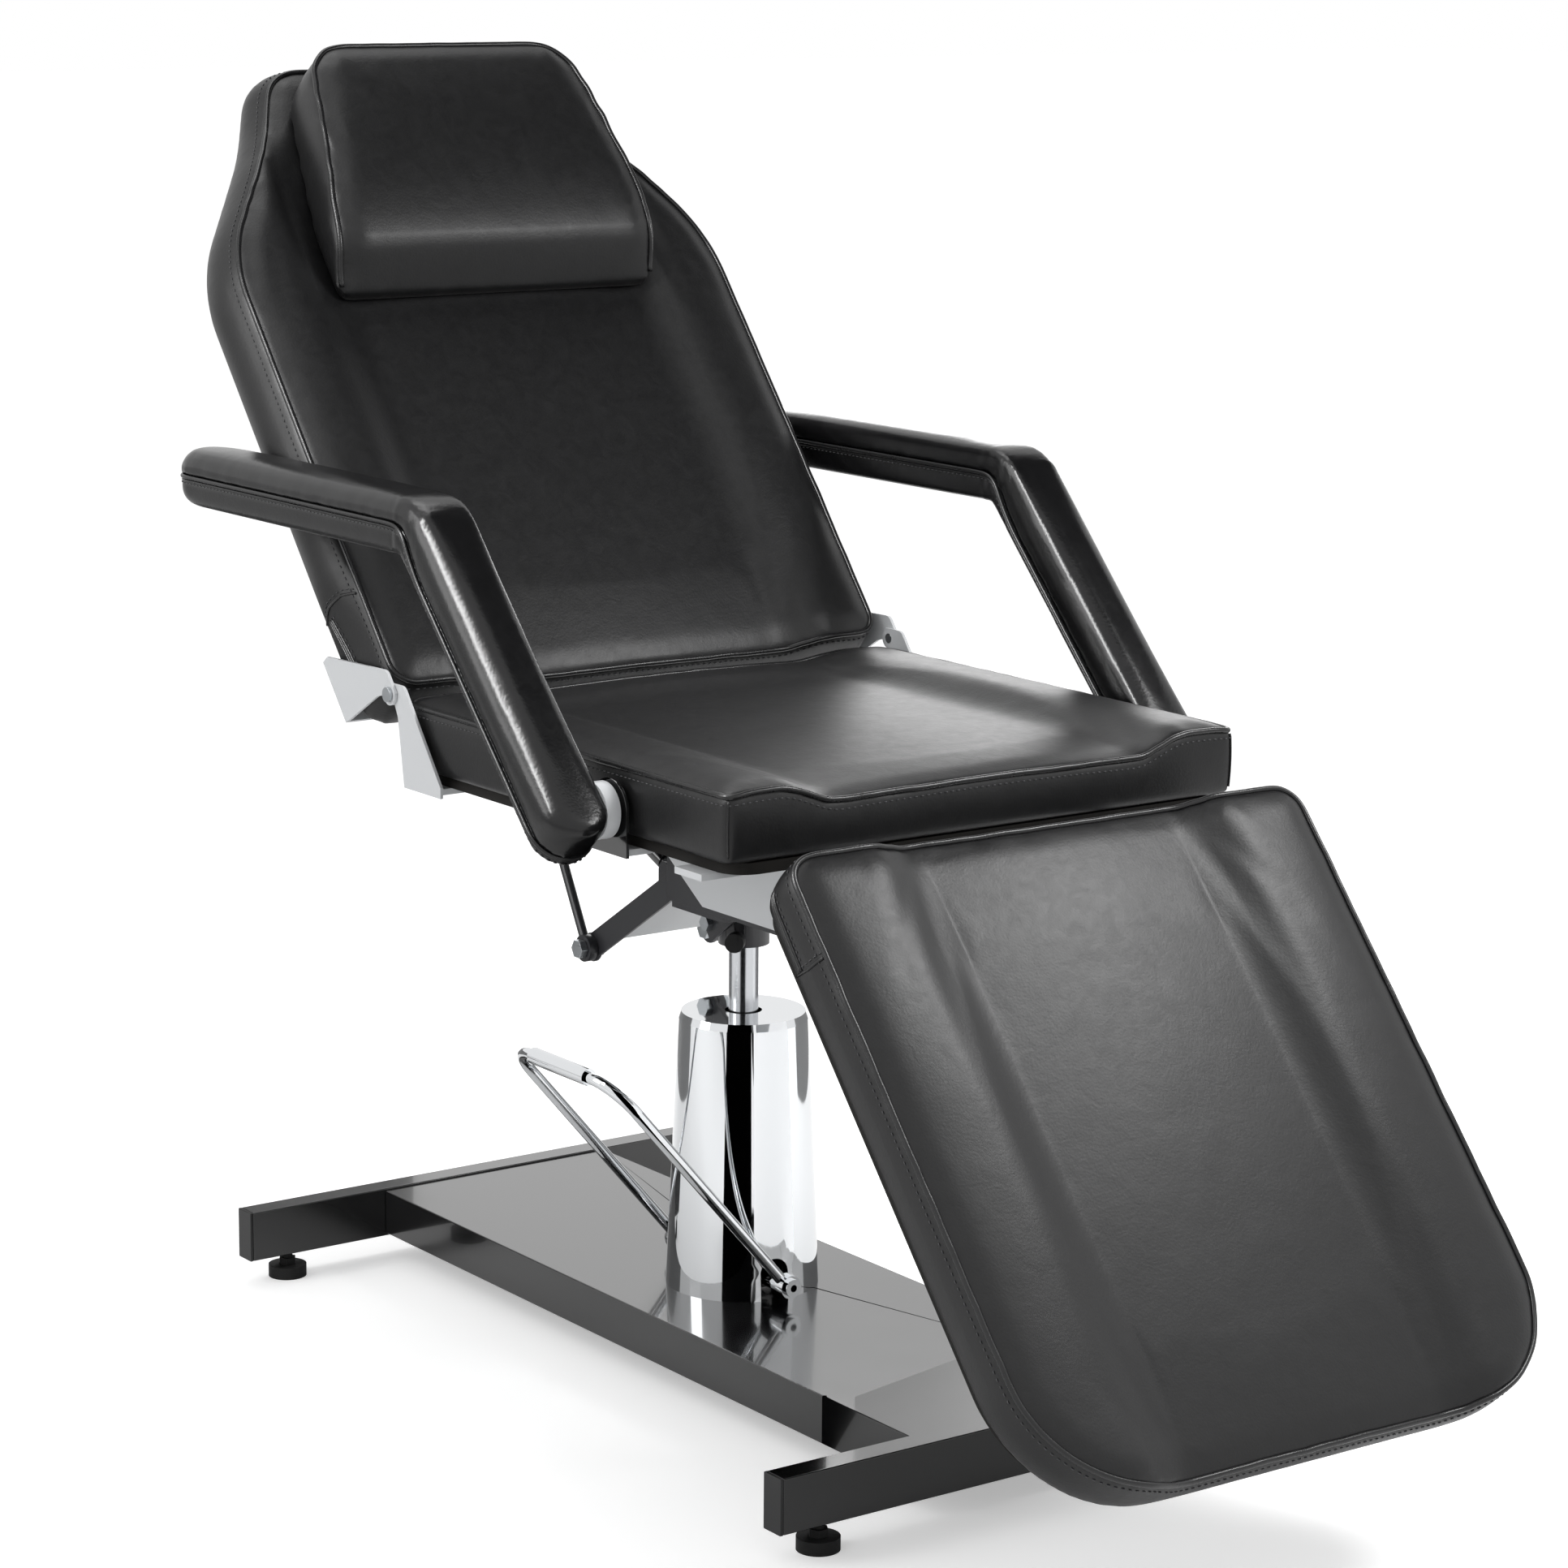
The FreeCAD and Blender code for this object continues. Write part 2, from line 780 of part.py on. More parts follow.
def arm_sides():
    inner = arm_half_width - arm_plate
    points = arm_profile(arm_height / 2, 0)
    plate = side_plate(points, [0] * len(points), inner, arm_half_width)
    eye = rod_x(arm_eye_radius, inner, arm_half_width, arm_pivot_y, arm_pivot_z)
    hole = rod_x(pivot_bolt_radius, 0, arm_half_width * 2, arm_pivot_y, arm_pivot_z)
    return both_sides(fuse([plate, eye]).cut(hole))


def arm_box():
    """Folded plate between the two arm sides, open at the fork."""
    inner = arm_half_width - arm_plate
    half_height = arm_height / 2 - arm_box_inset
    points = arm_profile(half_height, arm_fork_length)
    solid = side_plate(points, [0] * len(points), -inner, inner)
    hollow_points = arm_profile(half_height - arm_box_wall, arm_fork_length)
    wall = inner - arm_box_wall
    hollow = side_plate(hollow_points, [0] * len(hollow_points), -wall, wall)
    return solid.cut(hollow)


def back_arm_sides():
    return arm_sides()


def leg_arm_sides():
    return front_copy(arm_sides())


def back_arm_box():
    return arm_box()


def leg_arm_box():
    return front_copy(arm_box())


def beam_sleeve():
    bottom = beam_centre_z - arm_height / 2
    outer = arm_half_width + arm_plate
    solid = box(-outer, outer, sleeve_front, sleeve_rear, bottom, sleeve_top)
    inner = box(-arm_half_width, arm_half_width, sleeve_front, sleeve_rear, bottom, sleeve_top - arm_plate)
    return solid.cut(inner)


def seat_mount_plates():
    low = arm_half_width + arm_plate
    top = seat_bottom - strap_thickness
    points = [(mount_plate_top_rear, top), (mount_plate_low_rear, mount_plate_bottom),
              (mount_plate_front, mount_plate_bottom), (mount_plate_front, top)]
    return both_sides(side_plate(points, [0] * len(points), low, low + mount_plate))


def seat_straps():
    straps = []
    for y in (rear_strap_y, middle_strap_y, front_strap_y):
        straps.append(box(-strap_half_length(), strap_half_length(), y, y + strap_width,
                          seat_bottom - strap_thickness, seat_bottom))
    return Part.makeCompound(straps)


# Hinges

def seat_hinge_brackets():
    """Pair of upright triangles beside the seat's rear end, with the hinge hole at the top."""
    y = back_hinge_y
    z = back_hinge_z
    low = seat_bottom - strap_thickness
    radius = rivet_head_radius + rivet_head_height
    drop = z - low
    points = [(y + radius / 2, z + radius), (y - radius * 2, z + radius), (y - drop, low + radius), (y - drop, low),
              (y - radius * 2, low), (y - radius, z - radius * 2)]
    radii = [0, radius, 0, 0, 0, radius]
    plate = side_plate(points, radii, strap_half_length(), strap_half_length() + bracket_thickness)
    eye = rod_x(radius, strap_half_length(), strap_half_length() + bracket_thickness, y, z)
    hole = rod_x(hinge_pin_radius, 0, bed_width, y, z)
    return both_sides(fuse([plate, eye]).cut(hole))


def strap_half_length():
    return bed_width / 2 + strap_overhang


def back_bracket_x():
    return strap_half_length() + bracket_thickness + fit_gap


def back_hinge_brackets():
    low = back_face_height - back_thickness - bracket_thickness
    radius = rivet_head_radius + rivet_head_height
    reach = -low
    points = [(-radius / 2, radius), (radius * 2, radius), (reach, low + radius), (reach, low), (radius * 2, low),
              (radius, -radius * 2)]
    radii = [0, radius, 0, 0, 0, radius]
    inner = back_bracket_x()
    outer = inner + bracket_thickness
    plate = side_plate(points, radii, inner, outer)
    eye = rod_x(radius, inner, outer, 0, 0)
    flange = box(bed_width / 2 - foot_inset, inner, radius * 2, reach, low, low + bracket_thickness)
    hole = rod_x(hinge_pin_radius + running_gap, 0, bed_width, 0, 0)
    return lean_back(both_sides(fuse([plate, eye, flange]).cut(hole)))


def back_hinge_rivets():
    outer = back_bracket_x() + bracket_thickness + fit_gap
    inner = strap_half_length()
    shank = rod_x(hinge_pin_radius, inner, outer, back_hinge_y, back_hinge_z)
    head = rod_x(rivet_head_radius, outer, outer + rivet_head_height, back_hinge_y, back_hinge_z)
    return both_sides(fuse([shank, head]))


def leg_hinge_lugs():
    """Pair of lugs under the front of the seat that carry the leg rest's hinge pins."""
    y = leg_hinge_y
    z = leg_hinge_z
    top = seat_bottom - strap_thickness
    rear = front_strap_y + strap_width
    outer = leg_lug_x + leg_lug_thickness
    points = [(front_strap_y, top), (rear, top), (rear, top - lug_radius), (y, z - lug_radius), (y, z + lug_radius)]
    plate = side_plate(points, [0] * len(points), leg_lug_x, outer)
    eye = rod_x(lug_radius, leg_lug_x, outer, y, z)
    hole = rod_x(hinge_pin_radius, 0, bed_width, y, z)
    return both_sides(fuse([plate, eye]).cut(hole))


def leg_hinge_plates():
    outer = leg_plate_x + leg_lug_thickness
    reach = leg_corner_radius
    top = leg_underside_height
    points = [(0, -lug_radius), (-reach, top - lug_radius / 2), (-reach, top), (-lug_radius, top), (0, lug_radius)]
    plate = side_plate(points, [0] * len(points), leg_plate_x, outer)
    eye = rod_x(lug_radius, leg_plate_x, outer, 0, 0)
    hole = rod_x(hinge_pin_radius + running_gap, 0, bed_width, 0, 0)
    return hang_down(both_sides(fuse([plate, eye]).cut(hole)))


def leg_hinge_pins():
    inner = leg_lug_x
    outer = leg_plate_x + leg_lug_thickness + fit_gap
    y = leg_hinge_y
    z = leg_hinge_z
    shank = rod_x(hinge_pin_radius, inner, outer, y, z)
    heads = [rod_x(rivet_head_radius, inner - rivet_head_height, inner, y, z),
             rod_x(rivet_head_radius, outer, outer + rivet_head_height, y, z)]
    return both_sides(fuse([shank] + heads))


# Links and struts

def pivot_bolts():
    """Pair of hex bolts that carry a link on the end of an arm, each with its nut."""
    y = arm_pivot_y
    z = arm_pivot_z
    inner = arm_half_width - arm_plate
    outer = yoke_eye_inner_x + yoke_eye_thickness + fit_gap
    head_start = vec(outer, y, z)
    head = hexagon(hex_head_radius, head_start, head_start + vec(hex_head_height, 0, 0))
    shank = rod_x(pivot_bolt_radius, inner - nut_height, outer, y, z)
    nut = hexagon(hex_head_radius, vec(inner - nut_height, y, z), vec(inner, y, z))
    return both_sides(fuse([head, shank, nut]))


def link_pivot_bolts():
    rear = pivot_bolts()
    return Part.makeCompound([rear, front_copy(rear)])


def link_point(pivot_y, pivot_z, reach, angle):
    turn = math.radians(angle)
    return pivot_y + reach * math.sin(turn), pivot_z + reach * math.cos(turn)


def yoke(pivot_y, length, angle):
    """Two rods from the eyes at the arm's end to the bar that slides in the tracks."""
    z = arm_pivot_z
    end_y, end_z = link_point(pivot_y, z, length, angle)
    bar_y, bar_z = link_point(pivot_y, z, strut_bar_reach, angle)
    eye_outer = yoke_eye_inner_x + yoke_eye_thickness
    pieces = []
    for side in (-1, 1):
        x_low, x_high = sorted((side * yoke_eye_inner_x, side * eye_outer))
        x = side * yoke_rod_x
        pieces.append(rod_x(yoke_eye_radius, x_low, x_high, pivot_y, z))
        pieces.append(rod(yoke_rod_radius, vec(x, pivot_y, z), vec(x, end_y, end_z)))
    pieces.append(rod_x(yoke_bar_radius, -yoke_bar_half, yoke_bar_half, end_y, end_z))
    pieces.append(rod_x(yoke_bar_radius, -yoke_rod_x, yoke_rod_x, bar_y, bar_z))
    bore = rod_x(pivot_bolt_radius + running_gap, -bed_width, bed_width, pivot_y, z)
    return fuse(pieces).cut(bore)


def back_yoke():
    return yoke(arm_pivot_y, back_link_length, back_link_angle)


def leg_pivot_y():
    return beam_mid_y * 2 - arm_pivot_y


def leg_yoke():
    return yoke(leg_pivot_y(), leg_link_length, -leg_link_angle)


def tracks(s_low, s_high, t_low, t_high, t_bar, stub_s, stub_t):
    """Pair of grooved rails under a panel; the near one carries the release lever's stub."""
    outer_x = track_inner_x + track_thickness
    rail = box(track_inner_x, outer_x, s_low, s_high, t_low, t_high)
    groove = box(0, track_inner_x + track_groove_depth, s_low + track_thickness, s_high - track_thickness,
                 t_bar - track_groove_half, t_bar + track_groove_half)
    rail = rail.cut(groove)
    near = mirrored(rail)
    stub = rod_x(lever_stub_radius, -outer_x - lever_plate - lever_side_gap * 3, -outer_x, stub_s, stub_t)
    return Part.makeCompound([rail, fuse([near, stub])])


def back_tracks():
    top = back_face_height - back_thickness
    return lean_back(tracks(back_track_start, back_track_end, -track_bottom, top, back_bar_height,
                            lever_pivot_back_s, back_bar_height))


def leg_tracks():
    return hang_down(tracks(-leg_track_end, -leg_track_start, leg_track_bottom, leg_underside_height,
                            leg_bar_height, -lever_pivot_leg_s, leg_bar_height))


def lever_frame(sign, stub_s, stub_t):
    """Pivot point of a release lever and the direction in which its grip hangs."""
    turn = math.radians(lever_lean)
    return vec(0, stub_s, stub_t), vec(0, sign * math.sin(turn), -math.cos(turn))


def release_lever(sign, stub_s, stub_t):
    pivot, down = lever_frame(sign, stub_s, stub_t)
    inner = -track_inner_x - track_thickness - lever_side_gap
    outer = inner - lever_plate
    middle = (inner + outer) / 2
    hub = rod_x(lever_hub_radius, outer, inner, stub_s, stub_t)
    start = pivot + vec(middle, 0, 0)
    stem = rod(lever_rod_radius - running_gap, start, start + down * (lever_reach + grip_length))
    blade_side = vec(0, down.z, -down.y) * (lever_hub_radius / 2)
    corners = [pivot + blade_side, pivot - blade_side, pivot - blade_side + down * lever_reach,
               pivot + blade_side + down * lever_reach]
    outline = [(corner.y, corner.z) for corner in corners]
    blade = side_plate(outline, [0] * len(outline), outer, inner)
    hole = rod_x(lever_stub_radius + running_gap, -bed_width, 0, stub_s, stub_t)
    return fuse([hub, blade, stem]).cut(hole)


def release_grip(sign, stub_s, stub_t):
    pivot, down = lever_frame(sign, stub_s, stub_t)
    middle = -track_inner_x - track_thickness - lever_side_gap - lever_plate / 2
    start = pivot + vec(middle, 0, 0) + down * lever_reach
    finish = start + down * (grip_length + grip_wall_radius)
    solid = rod(grip_radius, start, finish)
    return solid.cut(rod(grip_wall_radius, start, start + down * grip_length))


def back_release_lever():
    return lean_back(release_lever(1, lever_pivot_back_s, back_bar_height))


def back_release_grip():
    return lean_back(release_grip(1, lever_pivot_back_s, back_bar_height))


def leg_release_lever():
    return hang_down(release_lever(-1, -lever_pivot_leg_s, leg_bar_height))


def leg_release_grip():
    return hang_down(release_grip(-1, -lever_pivot_leg_s, leg_bar_height))


def strut_places(kind):
    """Anchor point, bar point and X of a gas strut."""
    if kind == "back":
        bar = link_point(arm_pivot_y, arm_pivot_z, strut_bar_reach, back_link_angle)
        return vec(-strut_x, strut_anchor_y, strut_anchor_z), vec(-strut_x, bar[0], bar[1])
    bar = link_point(leg_pivot_y(), arm_pivot_z, strut_bar_reach, -leg_link_angle)
    return vec(strut_x, leg_strut_anchor_y, leg_strut_anchor_z), vec(strut_x, bar[0], bar[1])


def strut_body(kind, length):
    anchor, bar = strut_places(kind)
    along = unit(bar - anchor)
    half = vec(strut_eye_half, 0, 0)
    eye = rod(strut_eye_radius, anchor - half, anchor + half)
    barrel = rod(strut_radius, anchor + along * strut_neck, anchor + along * length)
    neck = rod(strut_rod_radius + strut_cap / 2, anchor, anchor + along * strut_neck)
    pin = rod(strut_pin_radius + running_gap, anchor - half * 2, anchor + half * 2)
    bore = rod(strut_rod_radius + running_gap, anchor + along * (strut_neck + strut_cap), anchor + along * length)
    return fuse([eye, barrel, neck]).cut([pin, bore])


def strut_end(kind, length, before, after):
    """Rod of a gas strut with a slotted end round the link's bar."""
    anchor, bar = strut_places(kind)
    along = unit(bar - anchor)
    half = vec(strut_end_half, 0, 0)
    slot = strut_slot_half_width
    outer = slot + strut_slot_wall
    shank = rod(strut_rod_radius, bar - along * length, bar - along * (before + strut_slot_wall / 2))
    first = bar - along * (before - slot)
    last = bar + along * (after - slot)
    pieces = [rod(outer, first - half, first + half), rod(outer, last - half, last + half)]
    holes = [rod(slot, first - half, first + half), rod(slot, last - half, last + half)]
    square = vec(0, -along.z, along.y)
    for shapes, reach in ((pieces, outer), (holes, slot)):
        corners = [first + square * reach, last + square * reach, last - square * reach, first - square * reach]
        corners = [corner - half for corner in corners]
        face = Part.Face(Part.makePolygon(corners + [corners[0]]))
        shapes.append(face.extrude(half * 2))
    return fuse([shank] + pieces).cut(holes)


def back_strut_body_piece():
    return strut_body("back", back_strut_body)


def back_strut_rod_piece():
    return strut_end("back", back_strut_rod, back_slot_before, back_slot_after)


def leg_strut_body_piece():
    return strut_body("leg", leg_strut_body)


def leg_strut_rod_piece():
    return strut_end("leg", leg_strut_rod, leg_slot_before, leg_slot_after)


def strut_anchors():
    """Two pairs of lugs on top of the arms, each pair with the strut's pin through it."""
    anchors = []
    for kind in ("back", "leg"):
        anchor, _ = strut_places(kind)
        inner = strut_eye_half + strut_lug_gap
        outer = inner + strut_lug_plate
        radius = strut_eye_radius
        below = box(anchor.x - outer, anchor.x + outer, anchor.y - radius, anchor.y + radius,
                    beam_centre_z - arm_height, anchor.z)
        round_top = rod(radius, anchor - vec(outer, 0, 0), anchor + vec(outer, 0, 0))
        gap = box(anchor.x - inner, anchor.x + inner, anchor.y - radius * 2, anchor.y + radius * 2,
                  beam_centre_z - arm_height, anchor.z + radius * 2)
        lugs = fuse([below, round_top]).cut(gap)
        half_height = arm_height / 2 - arm_box_inset
        points = arm_profile(half_height, 0)
        arm = side_plate(points, [0] * len(points), -arm_half_width, arm_half_width)
        if kind == "leg":
            arm = front_copy(arm)
        lugs = lugs.cut(arm)
        lugs = Part.makeCompound([s for s in lugs.Solids if s.BoundBox.ZMax > anchor.z])
        pin = rod(strut_pin_radius, anchor - vec(outer, 0, 0), anchor + vec(outer, 0, 0))
        anchors.append(fuse(lugs.Solids + [pin]))
    return Part.makeCompound(anchors)


# Armrests

def armrest_shape(low, high, x_low, x_high, end_trim):
    """Bent bar between two depths under the armrest's top face."""
    slope = math.radians(armrest_slope)
    along = vec(-math.cos(slope), -math.sin(slope), 0)
    inward = vec(math.sin(slope), -math.cos(slope), 0)
    elbow = vec(armrest_elbow_y, armrest_top, 0)
    shift = math.tan(slope / 2)
    outer_elbow = elbow + vec(low * shift, -low, 0)
    inner_elbow = elbow + vec(high * shift, -high, 0)
    end = elbow + along * (armrest_low_length - end_trim)
    outer_end = end + inward * low
    inner_end = end + inward * high
    tip = armrest_tip_y - end_trim
    points = [(tip, armrest_top - low), (outer_elbow.x, outer_elbow.y), (outer_end.x, outer_end.y),
              (inner_end.x, inner_end.y), (inner_elbow.x, inner_elbow.y), (tip, armrest_top - high)]
    outer_radius = elbow_radius(low)
    inner_radius = elbow_radius(high)
    end_radius = min(armrest_end_radius, (high - low) / 3)
    radii = [end_radius, outer_radius, end_radius, end_radius, inner_radius, end_radius]
    return side_plate(points, radii, x_low, x_high)


def elbow_radius(depth):
    share = depth / armrest_thickness
    return armrest_elbow_radius * (1 - share) + armrest_inner_radius * share


def armrest_x():
    """Inner face of an armrest."""
    return bed_width / 2 + armrest_clearance


def disc_inner_x():
    return bed_width / 2 + disc_clearance


def axle_end_x():
    return bed_width / 2 + axle_end_clearance


def end_corners(tip_y, side, half):
    """Wedges that take the two corners off an end of a level armrest; side is 1 at the +Y end."""
    cut = armrest_end_cut
    middle_x = armrest_x() + armrest_width / 2
    reach = armrest_low_length / 2
    wedges = []
    for way in (-1, 1):
        corner_x = middle_x + way * half
        points = [(corner_x + way * cut, tip_y - side * cut * 2), (corner_x + way * cut, tip_y + side * cut),
                  (corner_x - way * cut * 2, tip_y + side * cut)]
        wedges.append(flat_plate(points, [0, 0, 0], -reach, reach))
    return wedges


def with_cut_ends(shape, trim):
    """Armrest whose two ends lose their corners, as seen square to its top face."""
    half = armrest_width / 2 - trim
    upper = end_corners(armrest_tip_y - trim, 1, half)
    lower = end_corners(trim - armrest_low_length, -1, half)
    for wedge in upper:
        wedge.translate(vec(0, 0, armrest_top))
    for wedge in lower:
        wedge.rotate(vec(0, 0, 0), vec(1, 0, 0), armrest_slope)
        wedge.translate(vec(0, armrest_elbow_y, armrest_top))
    return shape.cut(upper + lower)


def armrest_pad():
    high = armrest_thickness - armrest_core
    shape = armrest_shape(0, high, armrest_x(), armrest_x() + armrest_width, 0)
    edges = []
    for edge in shape.Edges:
        middle = edge.valueAt((edge.FirstParameter + edge.LastParameter) / 2)
        flat = abs(edge.BoundBox.XMax - edge.BoundBox.XMin) < fit_gap
        if flat and on_outer_face(middle, shape):
            edges.append(edge)
    return with_cut_ends(shape.makeChamfer(armrest_edge, edges), 0)


def on_outer_face(point, shape):
    """True on the top face and the front face, false on the face towards the core."""
    slope = math.radians(armrest_slope)
    outward = vec(0, -math.sin(slope), math.cos(slope))
    elbow = vec(0, armrest_elbow_y, armrest_top)
    offset = point - elbow
    top = abs(offset.z) < fit_gap
    front = abs(offset.dot(outward)) < fit_gap
    rounded = offset.Length < armrest_elbow_radius and offset.dot(outward) > -armrest_elbow_radius / 3
    corner = rounded and offset.z > -armrest_elbow_radius / 3
    return (top and point.y > armrest_elbow_y) or front or corner


def armrest_core_strip():
    low = armrest_thickness - armrest_core
    inset = armrest_core_inset
    strip = armrest_shape(low, armrest_thickness, armrest_x() + inset, armrest_x() + armrest_width - inset, inset)
    return with_cut_ends(strip, inset)


def armrest_disc():
    disc = rod_x(disc_radius, disc_inner_x(), armrest_x(), armrest_pivot_y, armrest_pivot_z)
    hole = rod_x(axle_radius + running_gap, disc_inner_x(), armrest_x(), armrest_pivot_y, armrest_pivot_z)
    return disc.cut(hole)


def armrest_mounts():
    """Plates beside the seat, each with the axle of an armrest."""
    inner = strap_half_length()
    outer = inner + bracket_thickness
    low = seat_bottom - strap_thickness
    y = armrest_pivot_y
    z = armrest_pivot_z
    points = [(axle_plate_front, low), (axle_plate_rear, low), (axle_plate_rear, z), (axle_plate_front, z)]
    plate = side_plate(points, [0] * len(points), inner, outer)
    top = rod_x((axle_plate_rear - axle_plate_front) / 2, inner, outer, y, z)
    axle = rod_x(axle_radius, outer, axle_end_x(), y, z)
    return both_sides(fuse([plate, top, axle]))


def node_shapes():
    nodes = {
        "base_channel": base_channel(),
        "crossfoot_front": crossfoot(-1),
        "crossfoot_rear": crossfoot(1),
        "crossfoot_end_caps": end_caps(),
        "pump_cover": pump_cover(),
        "pump_body": pump_body(),
        "pump_bolts": pump_bolts(),
        "pedal_shaft": pedal_shaft(),
        "pedal_loop": pedal_loop(),
        "pedal_tread": pedal_tread(),
        "piston_rod": piston_rod(),
        "swivel_head": swivel_head(),
        "swivel_head_cheeks": head_cheeks(),
        "swivel_head_bolts": head_bolts(),
        "swivel_lock_knob": swivel_lock_knob(),
        "beam_sleeve": beam_sleeve(),
        "back_arm_sides": back_arm_sides(),
        "back_arm_box": back_arm_box(),
        "leg_arm_sides": leg_arm_sides(),
        "leg_arm_box": leg_arm_box(),
        "seat_mount_plates": seat_mount_plates(),
        "seat_straps": seat_straps(),
        "seat_board": seat_board(),
        "seat_cushion": seat_cushion(),
        "seat_hinge_brackets": seat_hinge_brackets(),
        "back_hinge_rivets": back_hinge_rivets(),
        "leg_hinge_lugs": leg_hinge_lugs(),
        "leg_hinge_pins": leg_hinge_pins(),
        "link_pivot_bolts": link_pivot_bolts(),
        "strut_anchors": strut_anchors(),
        "armrest_mounts": armrest_mounts(),
        "back_cushion": back_cushion(),
        "back_board": back_board(),
        "back_hinge_brackets": back_hinge_brackets(),
        "back_tracks": back_tracks(),
        "headrest_pillow": headrest_pillow(),
        "leg_cushion": leg_cushion(),
        "leg_board": leg_board(),
        "leg_hinge_plates": leg_hinge_plates(),
        "leg_tracks": leg_tracks(),
        "back_yoke": back_yoke(),
        "leg_yoke": leg_yoke(),
        "back_strut_body": back_strut_body_piece(),
        "back_strut_rod": back_strut_rod_piece(),
        "leg_strut_body": leg_strut_body_piece(),
        "leg_strut_rod": leg_strut_rod_piece(),
        "back_release_lever": back_release_lever(),
        "back_release_grip": back_release_grip(),
        "leg_release_lever": leg_release_lever(),
        "leg_release_grip": leg_release_grip(),
    }
    pad = armrest_pad()
    core = armrest_core_strip()
    disc = armrest_disc()
    for name, shape in (("pad", pad), ("core", core), ("disc", disc)):
        nodes["armrest_" + name + "_left"] = shape
        nodes["armrest_" + name + "_right"] = mirrored(shape)
    names = ("front_right", "front_left", "rear_right", "rear_left")
    feet = foot_places()
    for name, (x, y) in zip(names, feet):
        nodes["levelling_foot_" + name] = levelling_foot(x, y)
    return nodes


def save_all():
    for name, shape in node_shapes().items():
        moved = shape.copy()
        moved.translate(vec(0, floor_shift, 0))
        moved.exportStep("parts/" + name + ".step")


save_all()
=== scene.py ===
"""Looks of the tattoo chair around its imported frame.

Sizes of the pieces are in millimetres, in each panel's own flat frame, and turn to metres as a mesh is made.
+Z is up, the leg rest points to -Y, the headrest to +Y and the sitter's right is -X.
"""

import bisect
import json
import math

import bpy
from mathutils import Matrix, Vector, noise
from mathutils.bvhtree import BVHTree
from mathutils.kdtree import KDTree


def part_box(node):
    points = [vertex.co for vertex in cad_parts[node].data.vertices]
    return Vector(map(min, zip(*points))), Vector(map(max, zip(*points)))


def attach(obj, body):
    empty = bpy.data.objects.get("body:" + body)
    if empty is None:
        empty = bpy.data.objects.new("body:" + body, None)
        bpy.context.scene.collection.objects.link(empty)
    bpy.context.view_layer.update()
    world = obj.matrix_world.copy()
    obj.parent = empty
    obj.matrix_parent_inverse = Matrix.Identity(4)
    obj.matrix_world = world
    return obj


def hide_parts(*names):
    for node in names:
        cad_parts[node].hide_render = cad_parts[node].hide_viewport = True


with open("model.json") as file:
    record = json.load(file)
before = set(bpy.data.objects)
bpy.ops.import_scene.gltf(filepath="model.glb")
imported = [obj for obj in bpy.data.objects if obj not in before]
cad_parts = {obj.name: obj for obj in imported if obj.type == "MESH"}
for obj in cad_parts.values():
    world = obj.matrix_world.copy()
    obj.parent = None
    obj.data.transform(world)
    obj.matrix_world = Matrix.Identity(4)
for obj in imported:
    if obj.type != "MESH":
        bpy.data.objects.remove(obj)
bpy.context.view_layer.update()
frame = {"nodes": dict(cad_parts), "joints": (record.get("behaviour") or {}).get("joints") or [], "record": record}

MM = 0.001

# Panels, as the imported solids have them
HALF_WIDTH = 280.0
SEAT_FRONT = -371.0
SEAT_REAR = 157.0
SEAT_TOP = 645.0
SEAT_BOTTOM = 575.0
BACK_START = 6.0
BACK_SHOULDER = 490.0
BACK_WAIST = 634.0
BACK_WAIST_HALF_WIDTH = 186.0
BACK_END = 718.0
BACK_TOP_HALF_WIDTH = 150.0
BACK_TOP = 8.0
BACK_BOTTOM = -73.0
LEG_NEAR = -2.0
LEG_FAR = -586.0
LEG_TOP = 104.0
LEG_BOTTOM = 42.0
BACK_ANGLE = 51.0
LEG_ANGLE = 50.0

# Headrest pillow
PILLOW_START = 430.0
PILLOW_END = 692.0
PILLOW_TOP = 74.0
PILLOW_RIDGE = 47.0
PILLOW_FACET = 38.0
PILLOW_HALF_WIDTH = 184.0
PILLOW_END_HALF_WIDTH = 150.0
PILLOW_STRAIGHT = 70.0
PILLOW_SWELL_RUN = 70.0
PILLOW_RIDGE_BLEND = 3.0
PILLOW_EDGE_ROLL = 8.0
PILLOW_ROLL_REACH = 26.0
PILLOW_ROLL_START = 30.0
PILLOW_ROW_STEP = 3.0
PILLOW_DISH = 10.0
PILLOW_SINK = 6.0
PILLOW_OPEN_SEAM = 9.0
PILLOW_GRIP = 4.0
PILLOW_RIDGE_END = 180
PILLOW_RIDGE_REACH = 10.0
PILLOW_RIDGE_HOLD = 0.6

# Upholstery
CREASE_X = 190.0
LEG_CREASE_X = 165.0
CREASE_BLEND = 32.0
DISH = 18.0
CROWN = 4.0
BOLSTER_LEAN = 2.0
EDGE_ROLL = 5.0
ROLL_REACH = 24.0
SEAT_DISH_FADE_START = 60.0
SEAT_DISH_FADE_SHARE = 0.6
VOXEL = 6.5
PIPING_RADIUS = 2.6
PIPING_LIFT_SHARE = 0.35
SEAM_STEP = 4.0
RELAX_ROUNDS = 3
STITCH_LINE_STEP = 3.0
STITCH_LENGTH = 3.8
STITCH_GAP = 2.7
STITCH_RADIUS = 0.6
STITCH_SIDES = 5
STITCH_DROP = 9.0

# Swelling of the covers over their foam; near a seam or the board the cloth is held
SWELL_ROOM = 3.0
PRESSURE = 4.0
SWELL_CAP = 8.0
KEPT_SHARE = 0.4
CLOTH_FRAMES = 20
HELD_REACH = 7.0
BOARD_GRIP = 6.0
PUCKER_REACH = 12.0

